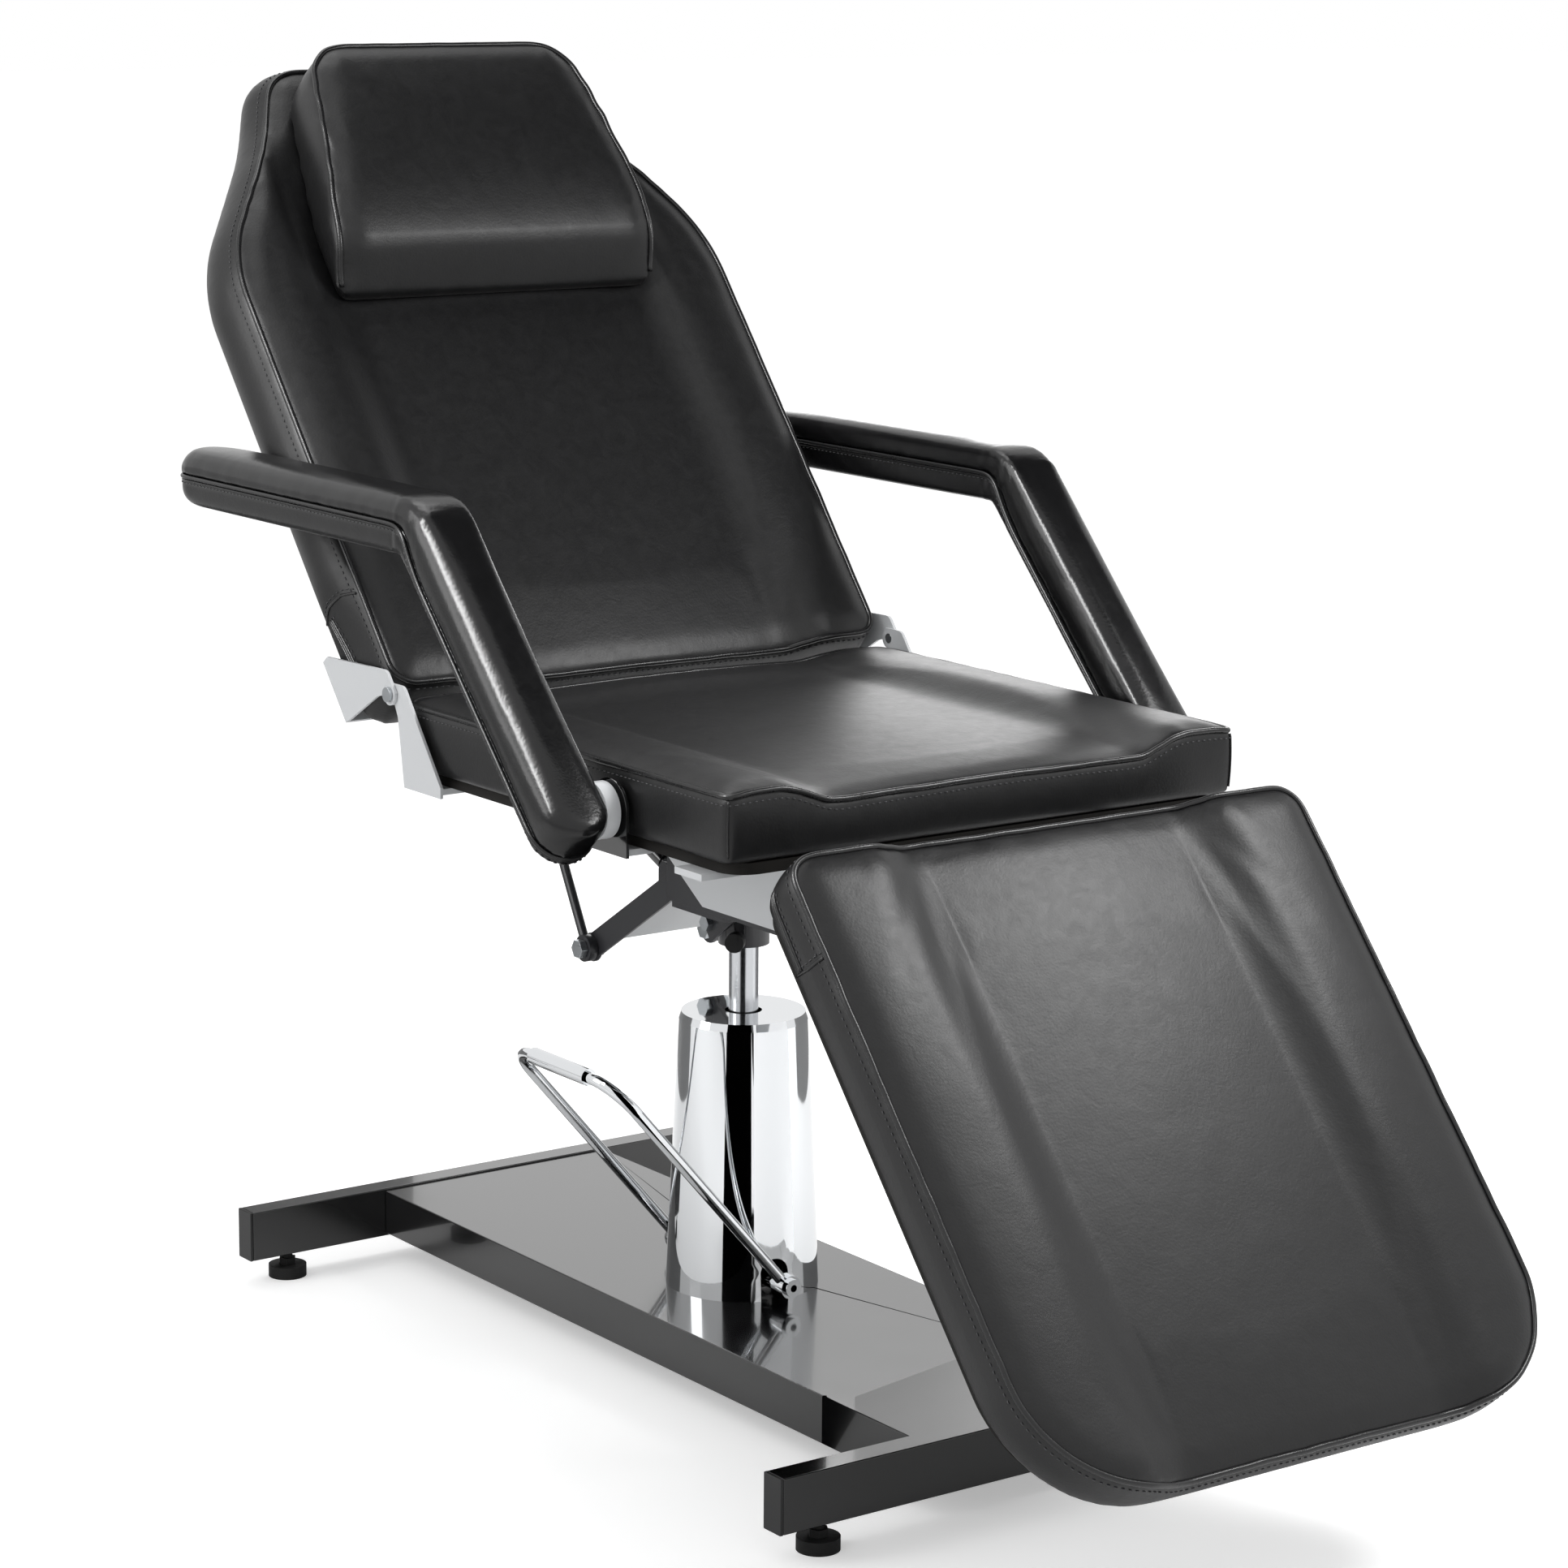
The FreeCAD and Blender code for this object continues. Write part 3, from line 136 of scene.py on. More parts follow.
# Side openings with their zips
FOLD_RADIUS = 1.3
ZIP_RADIUS = 1.5
ZIP_TAPE_RADIUS = 1.2
ZIP_TAPE_OFFSET = 3.6
ZIP_STITCH_OFFSET = 8.0
CROSS_STITCH_OFFSET = 5.0
WALL_STAND_OFF = 6.0
CORNER_SEAM_RADIUS = 1.0
CORNER_STAND_OFF = 4.0

# Armrests
ARM_CENTRE_X = 330.0
ARM_HALF_WIDTH = 30.0
ARM_TIP_Y = 440.0
ARM_ELBOW_Y = -1.0
ARM_TOP_Z = 845.0
ARM_SLOPE = 46.5
ARM_LOW_LENGTH = 354.0
ARM_ELBOW_RADIUS = 60.0
ARM_FLAT_SEAM = 24.0
ARM_SLOPED_SEAM = 40.0
ARM_DEPTH = 51.0
ARM_RAISE = 1.5
ARM_OUTER_CORNER = 16.0
ARM_INNER_CORNER = 8.0
ARM_UNDER_CORNER = 6.0
ARM_TIP_CORNER = 21.0
ARM_TIP_REACH = 60.0
ARM_PAD_INSET = 0.5
ARM_BASE_INSET = 1.5
ARM_END_FLAT = 0.2
ARM_EDGE_ROOM = 1.0
ARM_ROW_STEP = 5.0
ARM_SEAM_LEAD = 40.0
ARM_SEAM_RUN = 110.0
ARM_VOXEL = 4.0
ARM_PRESSURE = 3.0
ARM_SWELL_CAP = 3.0
ARM_KEPT_SHARE = 0.7
ARM_HELD_REACH = 8.0
ARM_PIPING_RADIUS = 2.0
ARM_STRIP_RADIUS = 1.2
ARM_STRIP_INSET = 0.6
ARM_STRIP_DROP = 3.4
ARM_STITCH_INSET = 1.0
ARM_STITCH_DROP = 6.0


# Colours and shader nodes

def linear(code):
    """Shader colour of an sRGB hex value."""
    parts = [int(code[at:at + 2], 16) / 255 for at in (1, 3, 5)]
    return tuple(c / 12.92 if c <= 0.04045 else ((c + 0.055) / 1.055) ** 2.4 for c in parts) + (1.0,)


def add_node(tree, kind, settings=None, links=None):
    """One shader node with its settings, and links as input: (node, output)."""
    node = tree.nodes.new(kind)
    for key, value in (settings or {}).items():
        if isinstance(key, int) or key in node.inputs:
            node.inputs[key].default_value = value
        else:
            setattr(node, key, value)
    for key, (source, output) in (links or {}).items():
        tree.links.new(source.outputs[output], node.inputs[key])
    return node


def new_material(name, colour, metallic, roughness, specular=0.5):
    """Material with plain values on its shader, and the piece's own coordinates in metres."""
    made = bpy.data.materials.new(name)
    made.use_nodes = True
    tree = made.node_tree
    shader = tree.nodes["Principled BSDF"]
    shader.inputs["Base Color"].default_value = linear(colour)
    shader.inputs["Metallic"].default_value = metallic
    shader.inputs["Roughness"].default_value = roughness
    if not metallic:
        shader.inputs["Specular IOR Level"].default_value = specular
    place = add_node(tree, "ShaderNodeTexCoord")
    return made, tree, shader, place


def scale_for(size_mm):
    """Texture scale at which one feature is as wide as size_mm."""
    return 1000.0 / size_mm


def vary_roughness(tree, shader, source, low, high):
    """Roughness that follows a texture between two values."""
    spread = add_node(tree, "ShaderNodeMapRange", {"To Min": low, "To Max": high}, {"Value": source})
    tree.links.new(spread.outputs["Result"], shader.inputs["Roughness"])


def vary_colour(tree, shader, source, first, second):
    """Colour that follows a texture between two hex values."""
    mix = add_node(tree, "ShaderNodeMix", {"data_type": "RGBA", 6: linear(first), 7: linear(second)},
                   {0: source})
    tree.links.new(mix.outputs[2], shader.inputs["Base Color"])


def bump(tree, source, depth_mm, strength, under=None):
    """Bump node whose full height is depth_mm, on top of an earlier one."""
    links = {"Height": source}
    if under is not None:
        links["Normal"] = (under, "Normal")
    return add_node(tree, "ShaderNodeBump", {"Distance": depth_mm * MM, "Strength": strength}, links)


def pu_leather(name, colour, worn_colour, low_rough, high_rough, shine=0.38):
    """Polyurethane-coated upholstery cloth: a smooth black skin with a pressed pebble grain, soft sheen."""
    made, tree, shader, place = new_material(name, colour, 0.0, low_rough, shine)
    # the pressed pebbles are about 1 mm wide and are drawn at 2.4 mm so that they show
    grain = add_node(tree, "ShaderNodeTexVoronoi", {"Scale": scale_for(2.4), "feature": "SMOOTH_F1",
                                                    "Smoothness": 0.6, "Randomness": 0.9},
                     {"Vector": (place, "Object")})
    # short creases of the skin, 14 mm apart
    skin = add_node(tree, "ShaderNodeTexNoise", {"Scale": scale_for(14), "Detail": 5.0, "Roughness": 0.62,
                                                 "Distortion": 0.8}, {"Vector": (place, "Object")})
    # slow unevenness of the foam under the skin, 90 mm wide
    foam = add_node(tree, "ShaderNodeTexNoise", {"Scale": scale_for(90), "Detail": 2.0, "Roughness": 0.5},
                    {"Vector": (place, "Object")})
    vary_colour(tree, shader, (skin, "Fac"), colour, worn_colour)
    vary_roughness(tree, shader, (skin, "Fac"), low_rough, high_rough)
    slow = bump(tree, (foam, "Fac"), 2.0, 0.5)
    fine = bump(tree, (skin, "Fac"), 0.5, 0.35, slow)
    pebbles = bump(tree, (grain, "Distance"), 0.16, 0.35, fine)
    tree.links.new(pebbles.outputs["Normal"], shader.inputs["Normal"])
    return made


def thread(name, colour):
    """Twisted polyester thread, 1.2 mm thick: dull, with the twist's ridges."""
    made, tree, shader, place = new_material(name, colour, 0.0, 0.55, 0.4)
    # the ridges are less than 1 mm apart and are drawn 5 mm apart so that they show
    twist = add_node(tree, "ShaderNodeTexWave", {"Scale": scale_for(5), "Distortion": 1.0},
                     {"Vector": (place, "Object")})
    vary_roughness(tree, shader, (twist, "Fac"), 0.45, 0.65)
    ridge = bump(tree, (twist, "Fac"), 0.1, 0.5)
    tree.links.new(ridge.outputs["Normal"], shader.inputs["Normal"])
    return made


def powder_coat(name, colour, rough, peel_mm, coat=0.0):
    """Baked powder paint on folded steel: even, with an orange peel 4 mm from crest to crest."""
    made, tree, shader, place = new_material(name, colour, 0.0, rough)
    shader.inputs["Coat Weight"].default_value = coat
    shader.inputs["Coat Roughness"].default_value = 0.05
    peel = add_node(tree, "ShaderNodeTexNoise", {"Scale": scale_for(4), "Detail": 2.0},
                    {"Vector": (place, "Object")})
    cloud = add_node(tree, "ShaderNodeTexNoise", {"Scale": scale_for(70), "Detail": 3.0},
                     {"Vector": (place, "Object")})
    vary_roughness(tree, shader, (cloud, "Fac"), rough * 0.75, rough * 1.3)
    skin = bump(tree, (peel, "Fac"), peel_mm, 0.5)
    tree.links.new(skin.outputs["Normal"], shader.inputs["Normal"])
    return made


def chrome_plate(name, colour, rough):
    """Polished nickel and chrome plating: mirror bright, with faint polishing haze."""
    made, tree, shader, place = new_material(name, colour, 1.0, rough)
    haze = add_node(tree, "ShaderNodeTexNoise", {"Scale": scale_for(30), "Detail": 4.0},
                    {"Vector": (place, "Object")})
    vary_roughness(tree, shader, (haze, "Fac"), rough * 0.6, rough * 1.8)
    return made


def turned_steel(name, colour, rough, line_mm):
    """Ground or rolled steel: fine lines round the piece, a soft metallic streak."""
    made, tree, shader, place = new_material(name, colour, 1.0, rough)
    squeeze = add_node(tree, "ShaderNodeMapping", {"Scale": (0.05, 0.05, 1.0)}, {"Vector": (place, "Object")})
    lines = add_node(tree, "ShaderNodeTexNoise", {"Scale": scale_for(line_mm), "Detail": 3.0},
                     {"Vector": (squeeze, "Vector")})
    vary_roughness(tree, shader, (lines, "Fac"), rough * 0.7, rough * 1.3)
    marks = bump(tree, (lines, "Fac"), 0.02, 0.3)
    tree.links.new(marks.outputs["Normal"], shader.inputs["Normal"])
    return made


def moulded(name, colour, rough, spark_mm, specular=0.5):
    """Moulded plastic or rubber with the fine spark texture of its mould."""
    made, tree, shader, place = new_material(name, colour, 0.0, rough, specular)
    spark = add_node(tree, "ShaderNodeTexNoise", {"Scale": scale_for(spark_mm), "Detail": 3.0},
                     {"Vector": (place, "Object")})
    vary_roughness(tree, shader, (spark, "Fac"), rough * 0.85, min(1.0, rough * 1.15))
    skin = bump(tree, (spark, "Fac"), 0.06, 0.5)
    tree.links.new(skin.outputs["Normal"], shader.inputs["Normal"])
    return made


def stained_plywood(name):
    """Birch plywood stained black: long grain 6 mm apart under a thin matt stain."""
    made, tree, shader, place = new_material(name, "#100f0e", 0.0, 0.7, 0.2)
    stretch = add_node(tree, "ShaderNodeMapping", {"Scale": (1.0, 0.08, 0.08)}, {"Vector": (place, "Object")})
    fibre = add_node(tree, "ShaderNodeTexNoise", {"Scale": scale_for(6), "Detail": 6.0},
                     {"Vector": (stretch, "Vector")})
    vary_colour(tree, shader, (fibre, "Fac"), "#0c0b0a", "#191714")
    vary_roughness(tree, shader, (fibre, "Fac"), 0.6, 0.8)
    pores = bump(tree, (fibre, "Fac"), 0.2, 0.4)
    tree.links.new(pores.outputs["Normal"], shader.inputs["Normal"])
    return made


materials = {
    "black_leather": pu_leather("black PU leather", "#0a0a0b", "#121213", 0.34, 0.46),
    "piping": pu_leather("black PU leather piping", "#0f0f10", "#161617", 0.24, 0.32, 0.45),
    "arm_leather": pu_leather("stretched black PU leather", "#09090a", "#101011", 0.2, 0.28, 0.42),
    "thread": thread("dark grey polyester thread", "#3a3a3c"),
    "painted_black": powder_coat("gloss black powder coat", "#070708", 0.16, 0.012, 0.8),
    "dark_arm_steel": powder_coat("semi-gloss dark grey paint", "#28282b", 0.34, 0.02),
    "silver_paint": powder_coat("satin light grey paint", "#c6c8ca", 0.36, 0.02),
    "chrome": chrome_plate("polished chrome plating", "#dfe1e3", 0.035),
    "piston_steel": turned_steel("ground steel rod", "#c2c4c7", 0.2, 1.5),
    "zinc_steel": turned_steel("bright zinc plating", "#b9bdc0", 0.3, 2.0),
    "black_plastic": moulded("moulded black plastic", "#111112", 0.42, 1.4),
    "black_rubber": moulded("moulded black rubber", "#131313", 0.68, 1.8, 0.3),
    "board_wood": stained_plywood("black-stained plywood"),
    "zip": moulded("black nylon zip", "#0c0c0d", 0.38, 1.0),
}


# Places of the panels

def joint_place(name, angle):
    """From a panel's flat frame, with the hinge line at its origin, to its rest place."""
    joint = next(j for j in frame["joints"] if j["name"] == name)
    _, y, z = joint["pos_m"]
    return Matrix.Translation((0.0, y, z)) @ Matrix.Rotation(math.radians(angle), 4, "X")


piston_low, piston_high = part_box("piston_rod")
axis_y = (piston_low.y + piston_high.y) / 2
seat_place = Matrix.Translation((0.0, axis_y, 0.0))
back_place = joint_place("backrest_recline", BACK_ANGLE)
leg_place = joint_place("legrest_raise", LEG_ANGLE)


# Meshes

def mesh_object(name, points, faces, material):
    """Smooth mesh object from points in millimetres."""
    mesh = bpy.data.meshes.new(name)
    mesh.from_pydata([Vector(point) * MM for point in points], [], faces)
    mesh.validate()
    mesh.shade_smooth()
    mesh.materials.append(material)
    made = bpy.data.objects.new(name, mesh)
    bpy.context.scene.collection.objects.link(made)
    return made


def settle(piece, place, body):
    """Moves a finished piece from its flat frame to its rest place on a body."""
    piece.data.transform(place)
    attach(piece, body)
    return piece


def smooth_step(value):
    """From 0 to 1 with level ends, and held there outside."""
    value = min(1.0, max(0.0, value))
    return value * value * (3 - 2 * value)


def evenly(points, step, closed):
    """Points at even steps along a line."""
    line = list(points) + ([points[0]] if closed else [])
    lengths = [0.0]
    for first, second in zip(line, line[1:]):
        lengths.append(lengths[-1] + (second - first).length)
    count = max(2, round(lengths[-1] / step))
    made = []
    index = 0
    for number in range(count if closed else count + 1):
        at = lengths[-1] * number / count
        while index < len(lengths) - 2 and lengths[index + 1] < at:
            index += 1
        span = lengths[index + 1] - lengths[index]
        share = (at - lengths[index]) / span if span else 0.0
        made.append(line[index].lerp(line[index + 1], min(1.0, share)))
    return made


def relaxed(points, closed):
    """Line with its small zigzags taken out."""
    line = list(points)
    for _ in range(RELAX_ROUNDS):
        moved = []
        for index, point in enumerate(line):
            if not closed and index in (0, len(line) - 1):
                moved.append(point)
                continue
            around = line[index - 1] + line[(index + 1) % len(line)]
            moved.append(point / 2 + around / 4)
        line = moved
    return line


def tube(name, points, radius, material, closed, sides=10):
    """Round tube through the points, turned as little as possible on the way."""
    count = len(points)
    rings = []
    across = None
    for index, point in enumerate(points):
        before = points[index - 1] if index or closed else point
        after = points[(index + 1) % count] if index < count - 1 or closed else point
        along = (after - before).normalized()
        if across is None:
            across = along.orthogonal().normalized()
        across = (across - along * across.dot(along)).normalized()
        square = along.cross(across)
        ring = []
        for side in range(sides):
            turn = 2 * math.pi * side / sides
            ring.append(point + across * (math.cos(turn) * radius) + square * (math.sin(turn) * radius))
        rings.append(ring)
    if closed:
        gap = min(range(sides), key=lambda side: (rings[-1][0] - rings[0][side]).length)
    faces = []
    for index in range(count if closed else count - 1):
        shift = gap if closed and index == count - 1 else 0
        first = index * sides
        second = ((index + 1) % count) * sides
        for side in range(sides):
            following = (side + 1) % sides
            faces.append((first + side, first + following, second + (following + shift) % sides,
                          second + (side + shift) % sides))
    if not closed:
        faces.append(tuple(range(sides - 1, -1, -1)))
        faces.append(tuple(range((count - 1) * sides, count * sides)))
    return mesh_object(name, [point for ring in rings for point in ring], faces, material)


def surface_of(piece):
    """Search tree over a piece's faces, in its own millimetres."""
    mesh = piece.data
    points = [vertex.co / MM for vertex in mesh.vertices]
    return BVHTree.FromPolygons(points, [tuple(face.vertices) for face in mesh.polygons])


def laid_on(points, surface, lift):
    """Points moved to the nearest place on a surface, and lifted off it."""
    placed = []
    for point in points:
        spot, normal, _, _ = surface.find_nearest(point)
        placed.append(spot + normal * lift)
    return placed


def stitches(name, points, surface, closed, material):
    """Row of short threads whose ends dive into the cover."""
    pitch = STITCH_LENGTH + STITCH_GAP
    dense = evenly(points, pitch / 4, closed)
    vertices = []
    faces = []
    sides = STITCH_SIDES
    rings = ((0.0, 0.45, -0.5), (0.2, 1.0, 0.25), (0.8, 1.0, 0.25), (1.0, 0.45, -0.5))
    for start in range(0, len(dense) - 3, 4):
        first, last = dense[start], dense[start + 2].lerp(dense[start + 3], 0.3)
        along = last - first
        if along.length < STITCH_LENGTH / 2:
            continue
        _, normal, _, _ = surface.find_nearest((first + last) / 2)
        across = normal.cross(along).normalized()
        base = len(vertices)
        for share, size, rise in rings:
            centre = laid_on([first + along * share], surface, rise * STITCH_RADIUS * 2)[0]
            reach = STITCH_RADIUS * size
            for side in range(sides):
                turn = 2 * math.pi * side / sides
                sideways = across * (math.cos(turn) * reach)
                vertices.append(centre + sideways + normal * (math.sin(turn) * reach))
        last_ring = len(rings) - 1
        for ring in range(last_ring):
            for side in range(sides):
                following = (side + 1) % sides
                low = base + ring * sides
                faces.append((low + side, low + following, low + sides + following, low + sides + side))
        faces.append(tuple(base + side for side in reversed(range(sides))))
        faces.append(tuple(base + last_ring * sides + side for side in range(sides)))
    return mesh_object(name, vertices, faces, material)


# Cushions

def half_outline(corners, radii, step):
    """Rows of (position, half width) along one side of a panel whose corners are rounded."""
    rows = []
    for index, radius in enumerate(radii):
        before, corner, after = (Vector(point) for point in corners[index:index + 3])
        to_before = (before - corner).normalized()
        to_after = (after - corner).normalized()
        half_angle = to_before.angle(to_after) / 2
        centre = corner + (to_before + to_after).normalized() * (radius / math.sin(half_angle))
        start = corner + to_before * (radius / math.tan(half_angle)) - centre
        sweep = math.pi - 2 * half_angle
        way = -1 if to_before.cross(to_after) > 0 else 1
        steps = max(4, round(radius * sweep / step * 2))
        for number in range(steps + 1):
            arm = start.copy()
            arm.rotate(Matrix.Rotation(way * sweep * number / steps, 2))
            rows.append(centre + arm)
    filled = [rows[0]]
    for row in rows[1:]:
        parts = max(1, math.ceil((row - filled[-1]).length / step))
        last = filled[-1].copy()
        filled += [last.lerp(row, number / parts) for number in range(1, parts + 1)]
    least_step = 1e-4
    kept = [filled[0]]
    for row in filled[1:]:
        if row.x > kept[-1].x + least_step:
            kept.append(row)
    return kept


def even_bulge(reach):
    """Bulge of a side wall that is the same all round: (reach, reach, and any stretch to grow over)."""
    return reach, reach, 0.0, 1.0


def cushion_shape(rows, top, bottom, bulge, draw, columns=96, levels=8):
    """Closed cushion: top sheet, bottom sheet drawn in by draw, and bulged side walls between them."""
    middle = (rows[0].x + rows[-1].x) / 2
    shrink = 1 - draw / (rows[-1].x - middle)
    upper = []
    lower = []
    for row in rows:
        for column in range(columns + 1):
            x = (2 * column / columns - 1) * row.y
            upper.append(Vector((x, row.x, top(x, row.x, row.y))))
            low_x = x * (row.y - draw) / row.y
            low_y = middle + (row.x - middle) * shrink
            lower.append(Vector((low_x, low_y, bottom(low_x, low_y))))
    width = columns + 1
    last = len(rows) - 1
    rim = list(range(width))
    rim += [row * width + columns for row in range(1, last + 1)]
    rim += [last * width + column for column in range(columns - 1, -1, -1)]
    rim += [row * width for row in range(last - 1, 0, -1)]
    edge = [upper[index] for index in rim]
    under = [lower[index] for index in rim]
    outward = []
    for index in range(len(rim)):
        along = edge[(index + 1) % len(rim)] - edge[index - 1]
        outward.append(Vector((along.y, -along.x, 0.0)).normalized())
    count = len(upper)
    points = upper + lower
    faces = []
    for row in range(last):
        for column in range(columns):
            corner = row * width + column
            quad = (corner, corner + 1, corner + width + 1, corner + width)
            faces.append(quad)
            faces.append(tuple(count + index for index in reversed(quad)))
    previous = rim
    for level in range(1, levels + 1):
        if level < levels:
            share = level / levels
            ring = range(len(points), len(points) + len(rim))
            for index in range(len(rim)):
                points.append(wall_point(edge[index], under[index], outward[index], share, bulge))
        else:
            ring = [count + index for index in rim]
        for index in range(len(rim)):
            following = (index + 1) % len(rim)
            faces.append((previous[index], ring[index], ring[following], previous[following]))
        previous = ring
    return {"points": points, "faces": faces, "edge": edge, "under": under, "outward": outward,
            "bulge": bulge}


def wall_point(edge, under, outward, share, bulge):
    """Point of a side wall; the bulge grows along a panel from its brackets on."""
    low, high, start, end = bulge
    reach = low + (high - low) * smooth_step((edge.y - start) / (end - start))
    return edge.lerp(under, share) + outward * (reach * math.sin(math.pi * share))


def wall_line(shape, drop):
    """Line round the side walls, drop millimetres under the top edge."""
    line = []
    for edge, under, outward in zip(shape["edge"], shape["under"], shape["outward"]):
        share = drop / (edge - under).length
        line.append(wall_point(edge, under, outward, share, shape["bulge"]))
    return line


def remesh(piece, voxel):
    """Turns a closed cover into one skin of small even faces."""
    modifier = piece.modifiers.new("remesh", "REMESH")
    modifier.mode = "VOXEL"
    modifier.voxel_size = voxel * MM
    graph = bpy.context.evaluated_depsgraph_get()
    skin = bpy.data.meshes.new_from_object(piece.evaluated_get(graph))
    piece.modifiers.clear()
    piece.data = skin
    skin.shade_smooth()


def swell(piece, held, pressure, cap, kept_share):
    """Blows a cover up with cloth pressure and keeps a share of each point's step, which cap limits."""
    skin = piece.data
    start = [vertex.co.copy() for vertex in skin.vertices]
    group = piece.vertex_groups.new(name="held")
    for index, point in enumerate(start):
        weight = held(point / MM)
        if weight > 0:
            group.add([index], weight, "REPLACE")
    cloth = piece.modifiers.new("cloth", "CLOTH")
    cloth.settings.vertex_group_mass = "held"
    cloth.settings.quality = 4
    cloth.settings.mass = 0.3
    cloth.settings.tension_stiffness = 12
    cloth.settings.compression_stiffness = 12
    cloth.settings.shear_stiffness = 6
    cloth.settings.bending_stiffness = 1.5
    cloth.settings.use_pressure = True
    cloth.settings.uniform_pressure_force = pressure
    cloth.settings.effector_weights.gravity = 0
    cloth.collision_settings.use_collision = False
    cloth.point_cache.frame_start = 1
    cloth.point_cache.frame_end = CLOTH_FRAMES
    for number in range(1, CLOTH_FRAMES + 1):
        bpy.context.scene.frame_set(number)
    graph = bpy.context.evaluated_depsgraph_get()
    swollen = bpy.data.meshes.new_from_object(piece.evaluated_get(graph))
    for vertex, old, new in zip(skin.vertices, start, swollen.vertices):
        step = new.co - old
        if step.length > cap * MM:
            step = step * (cap * MM / step.length)
        vertex.co = old + step * kept_share
    piece.modifiers.clear()
    piece.vertex_groups.clear()
    bpy.data.meshes.remove(swollen)
    bpy.context.scene.frame_set(1)


def near_line(line, reach):
    """Weight that is 1 up to half of reach from a line's points, and 0 from reach on."""
    tree = KDTree(len(line))
    for index, point in enumerate(line):
        tree.insert(point, index)
    tree.balance()

    def weight(point):
        _, _, distance = tree.find(point)
        return 1.0 - smooth_step((distance - reach / 2) / (reach / 2))

    return weight


def ripple(piece, line, reach, height, spacing, seed):
    """Small puckers that run away from a seam and die out within its reach."""
    tree = KDTree(len(line))
    lengths = [0.0]
    for index, point in enumerate(line):
        tree.insert(point, index)
        if index:
            lengths.append(lengths[-1] + (point - line[index - 1]).length)
    tree.balance()
    furthest = reach * 3
    normals = [vertex.normal.copy() for vertex in piece.data.vertices]
    for vertex, normal in zip(piece.data.vertices, normals):
        _, index, distance = tree.find(vertex.co / MM)
        if distance > furthest:
            continue
        wave = noise.noise(Vector((lengths[index] / spacing, distance / furthest, seed)))
        vertex.co += normal * (wave * height * MM * math.exp(-distance / reach))


def refine(piece):
    """One level of subdivision over the finished mesh."""
    smoother = piece.modifiers.new("subdivision", "SUBSURF")
    smoother.levels = 1
    smoother.render_levels = 1


def panel_top(crest, crease, low_end, high_end, fade):
    """Height of a panel's top sheet: side bolsters, soft slopes and a slightly crowned middle."""
    fade_start, fade_share = fade

    def height(x, y, half_width):
        reach = abs(x)
        dish = DISH * (1 - fade_share * smooth_step((y - fade_start) / (high_end - fade_start)))
        rise = smooth_step((reach - crease + CREASE_BLEND) / (2 * CREASE_BLEND))
        crown = CROWN * max(0.0, 1 - (reach / crease) ** 2)
        bolster_middle = (crease + HALF_WIDTH) / 2
        lean = max(0.0, (reach - bolster_middle) / (HALF_WIDTH - bolster_middle)) ** 2
        inside = min(half_width - reach, y - low_end, high_end - y)
        roll = EDGE_ROLL * (1 - smooth_step(inside / ROLL_REACH))
        return crest - dish * (1 - rise) + crown * (1 - rise) - lean * BOLSTER_LEAN - roll

    return height


def upholstered_panel(name, node, rows, crest, floor, crease, bulge, draw, fade, place, body, seed):
    """Cushion with piping round its top edge and a row of stitches under it; gives its surface back."""
    low_end, high_end = rows[0].x, rows[-1].x
    top = panel_top(crest - SWELL_ROOM, crease, low_end, high_end, fade)
    shape = cushion_shape(rows, top, lambda x, y: floor, bulge, draw)
    cover = mesh_object(name + "_cover", shape["points"], shape["faces"], materials["black_leather"])
    edge = evenly(shape["edge"], SEAM_STEP, True)
    at_edge = near_line(edge, HELD_REACH)

    def held(point):
        return 1.0 if point.z < floor + BOARD_GRIP else at_edge(point)

    remesh(cover, VOXEL)
    swell(cover, held, PRESSURE, SWELL_CAP, KEPT_SHARE)
    ripple(cover, edge, reach=PUCKER_REACH, height=0.9, spacing=26.0, seed=seed)
    surface = surface_of(cover)
    refine(cover)
    seam = laid_on(edge, surface, PIPING_RADIUS * PIPING_LIFT_SHARE)
    piping = tube(name + "_piping", relaxed(seam, True), PIPING_RADIUS, materials["piping"], True)
    line = laid_on(evenly(wall_line(shape, STITCH_DROP), STITCH_LINE_STEP, True), surface, 0.0)
    seam_thread = stitches(name + "_stitches", relaxed(line, True), surface, True, materials["thread"])
    for piece in (cover, piping, seam_thread):
        settle(piece, place, body)
    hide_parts(node)
    return surface


def side_line(points, surface, lift):
    """Line on a side wall, below points that stand a little outside it."""
    line = [Vector(point) for point in points]
    return laid_on(evenly(line, STITCH_LINE_STEP, False), surface, lift)


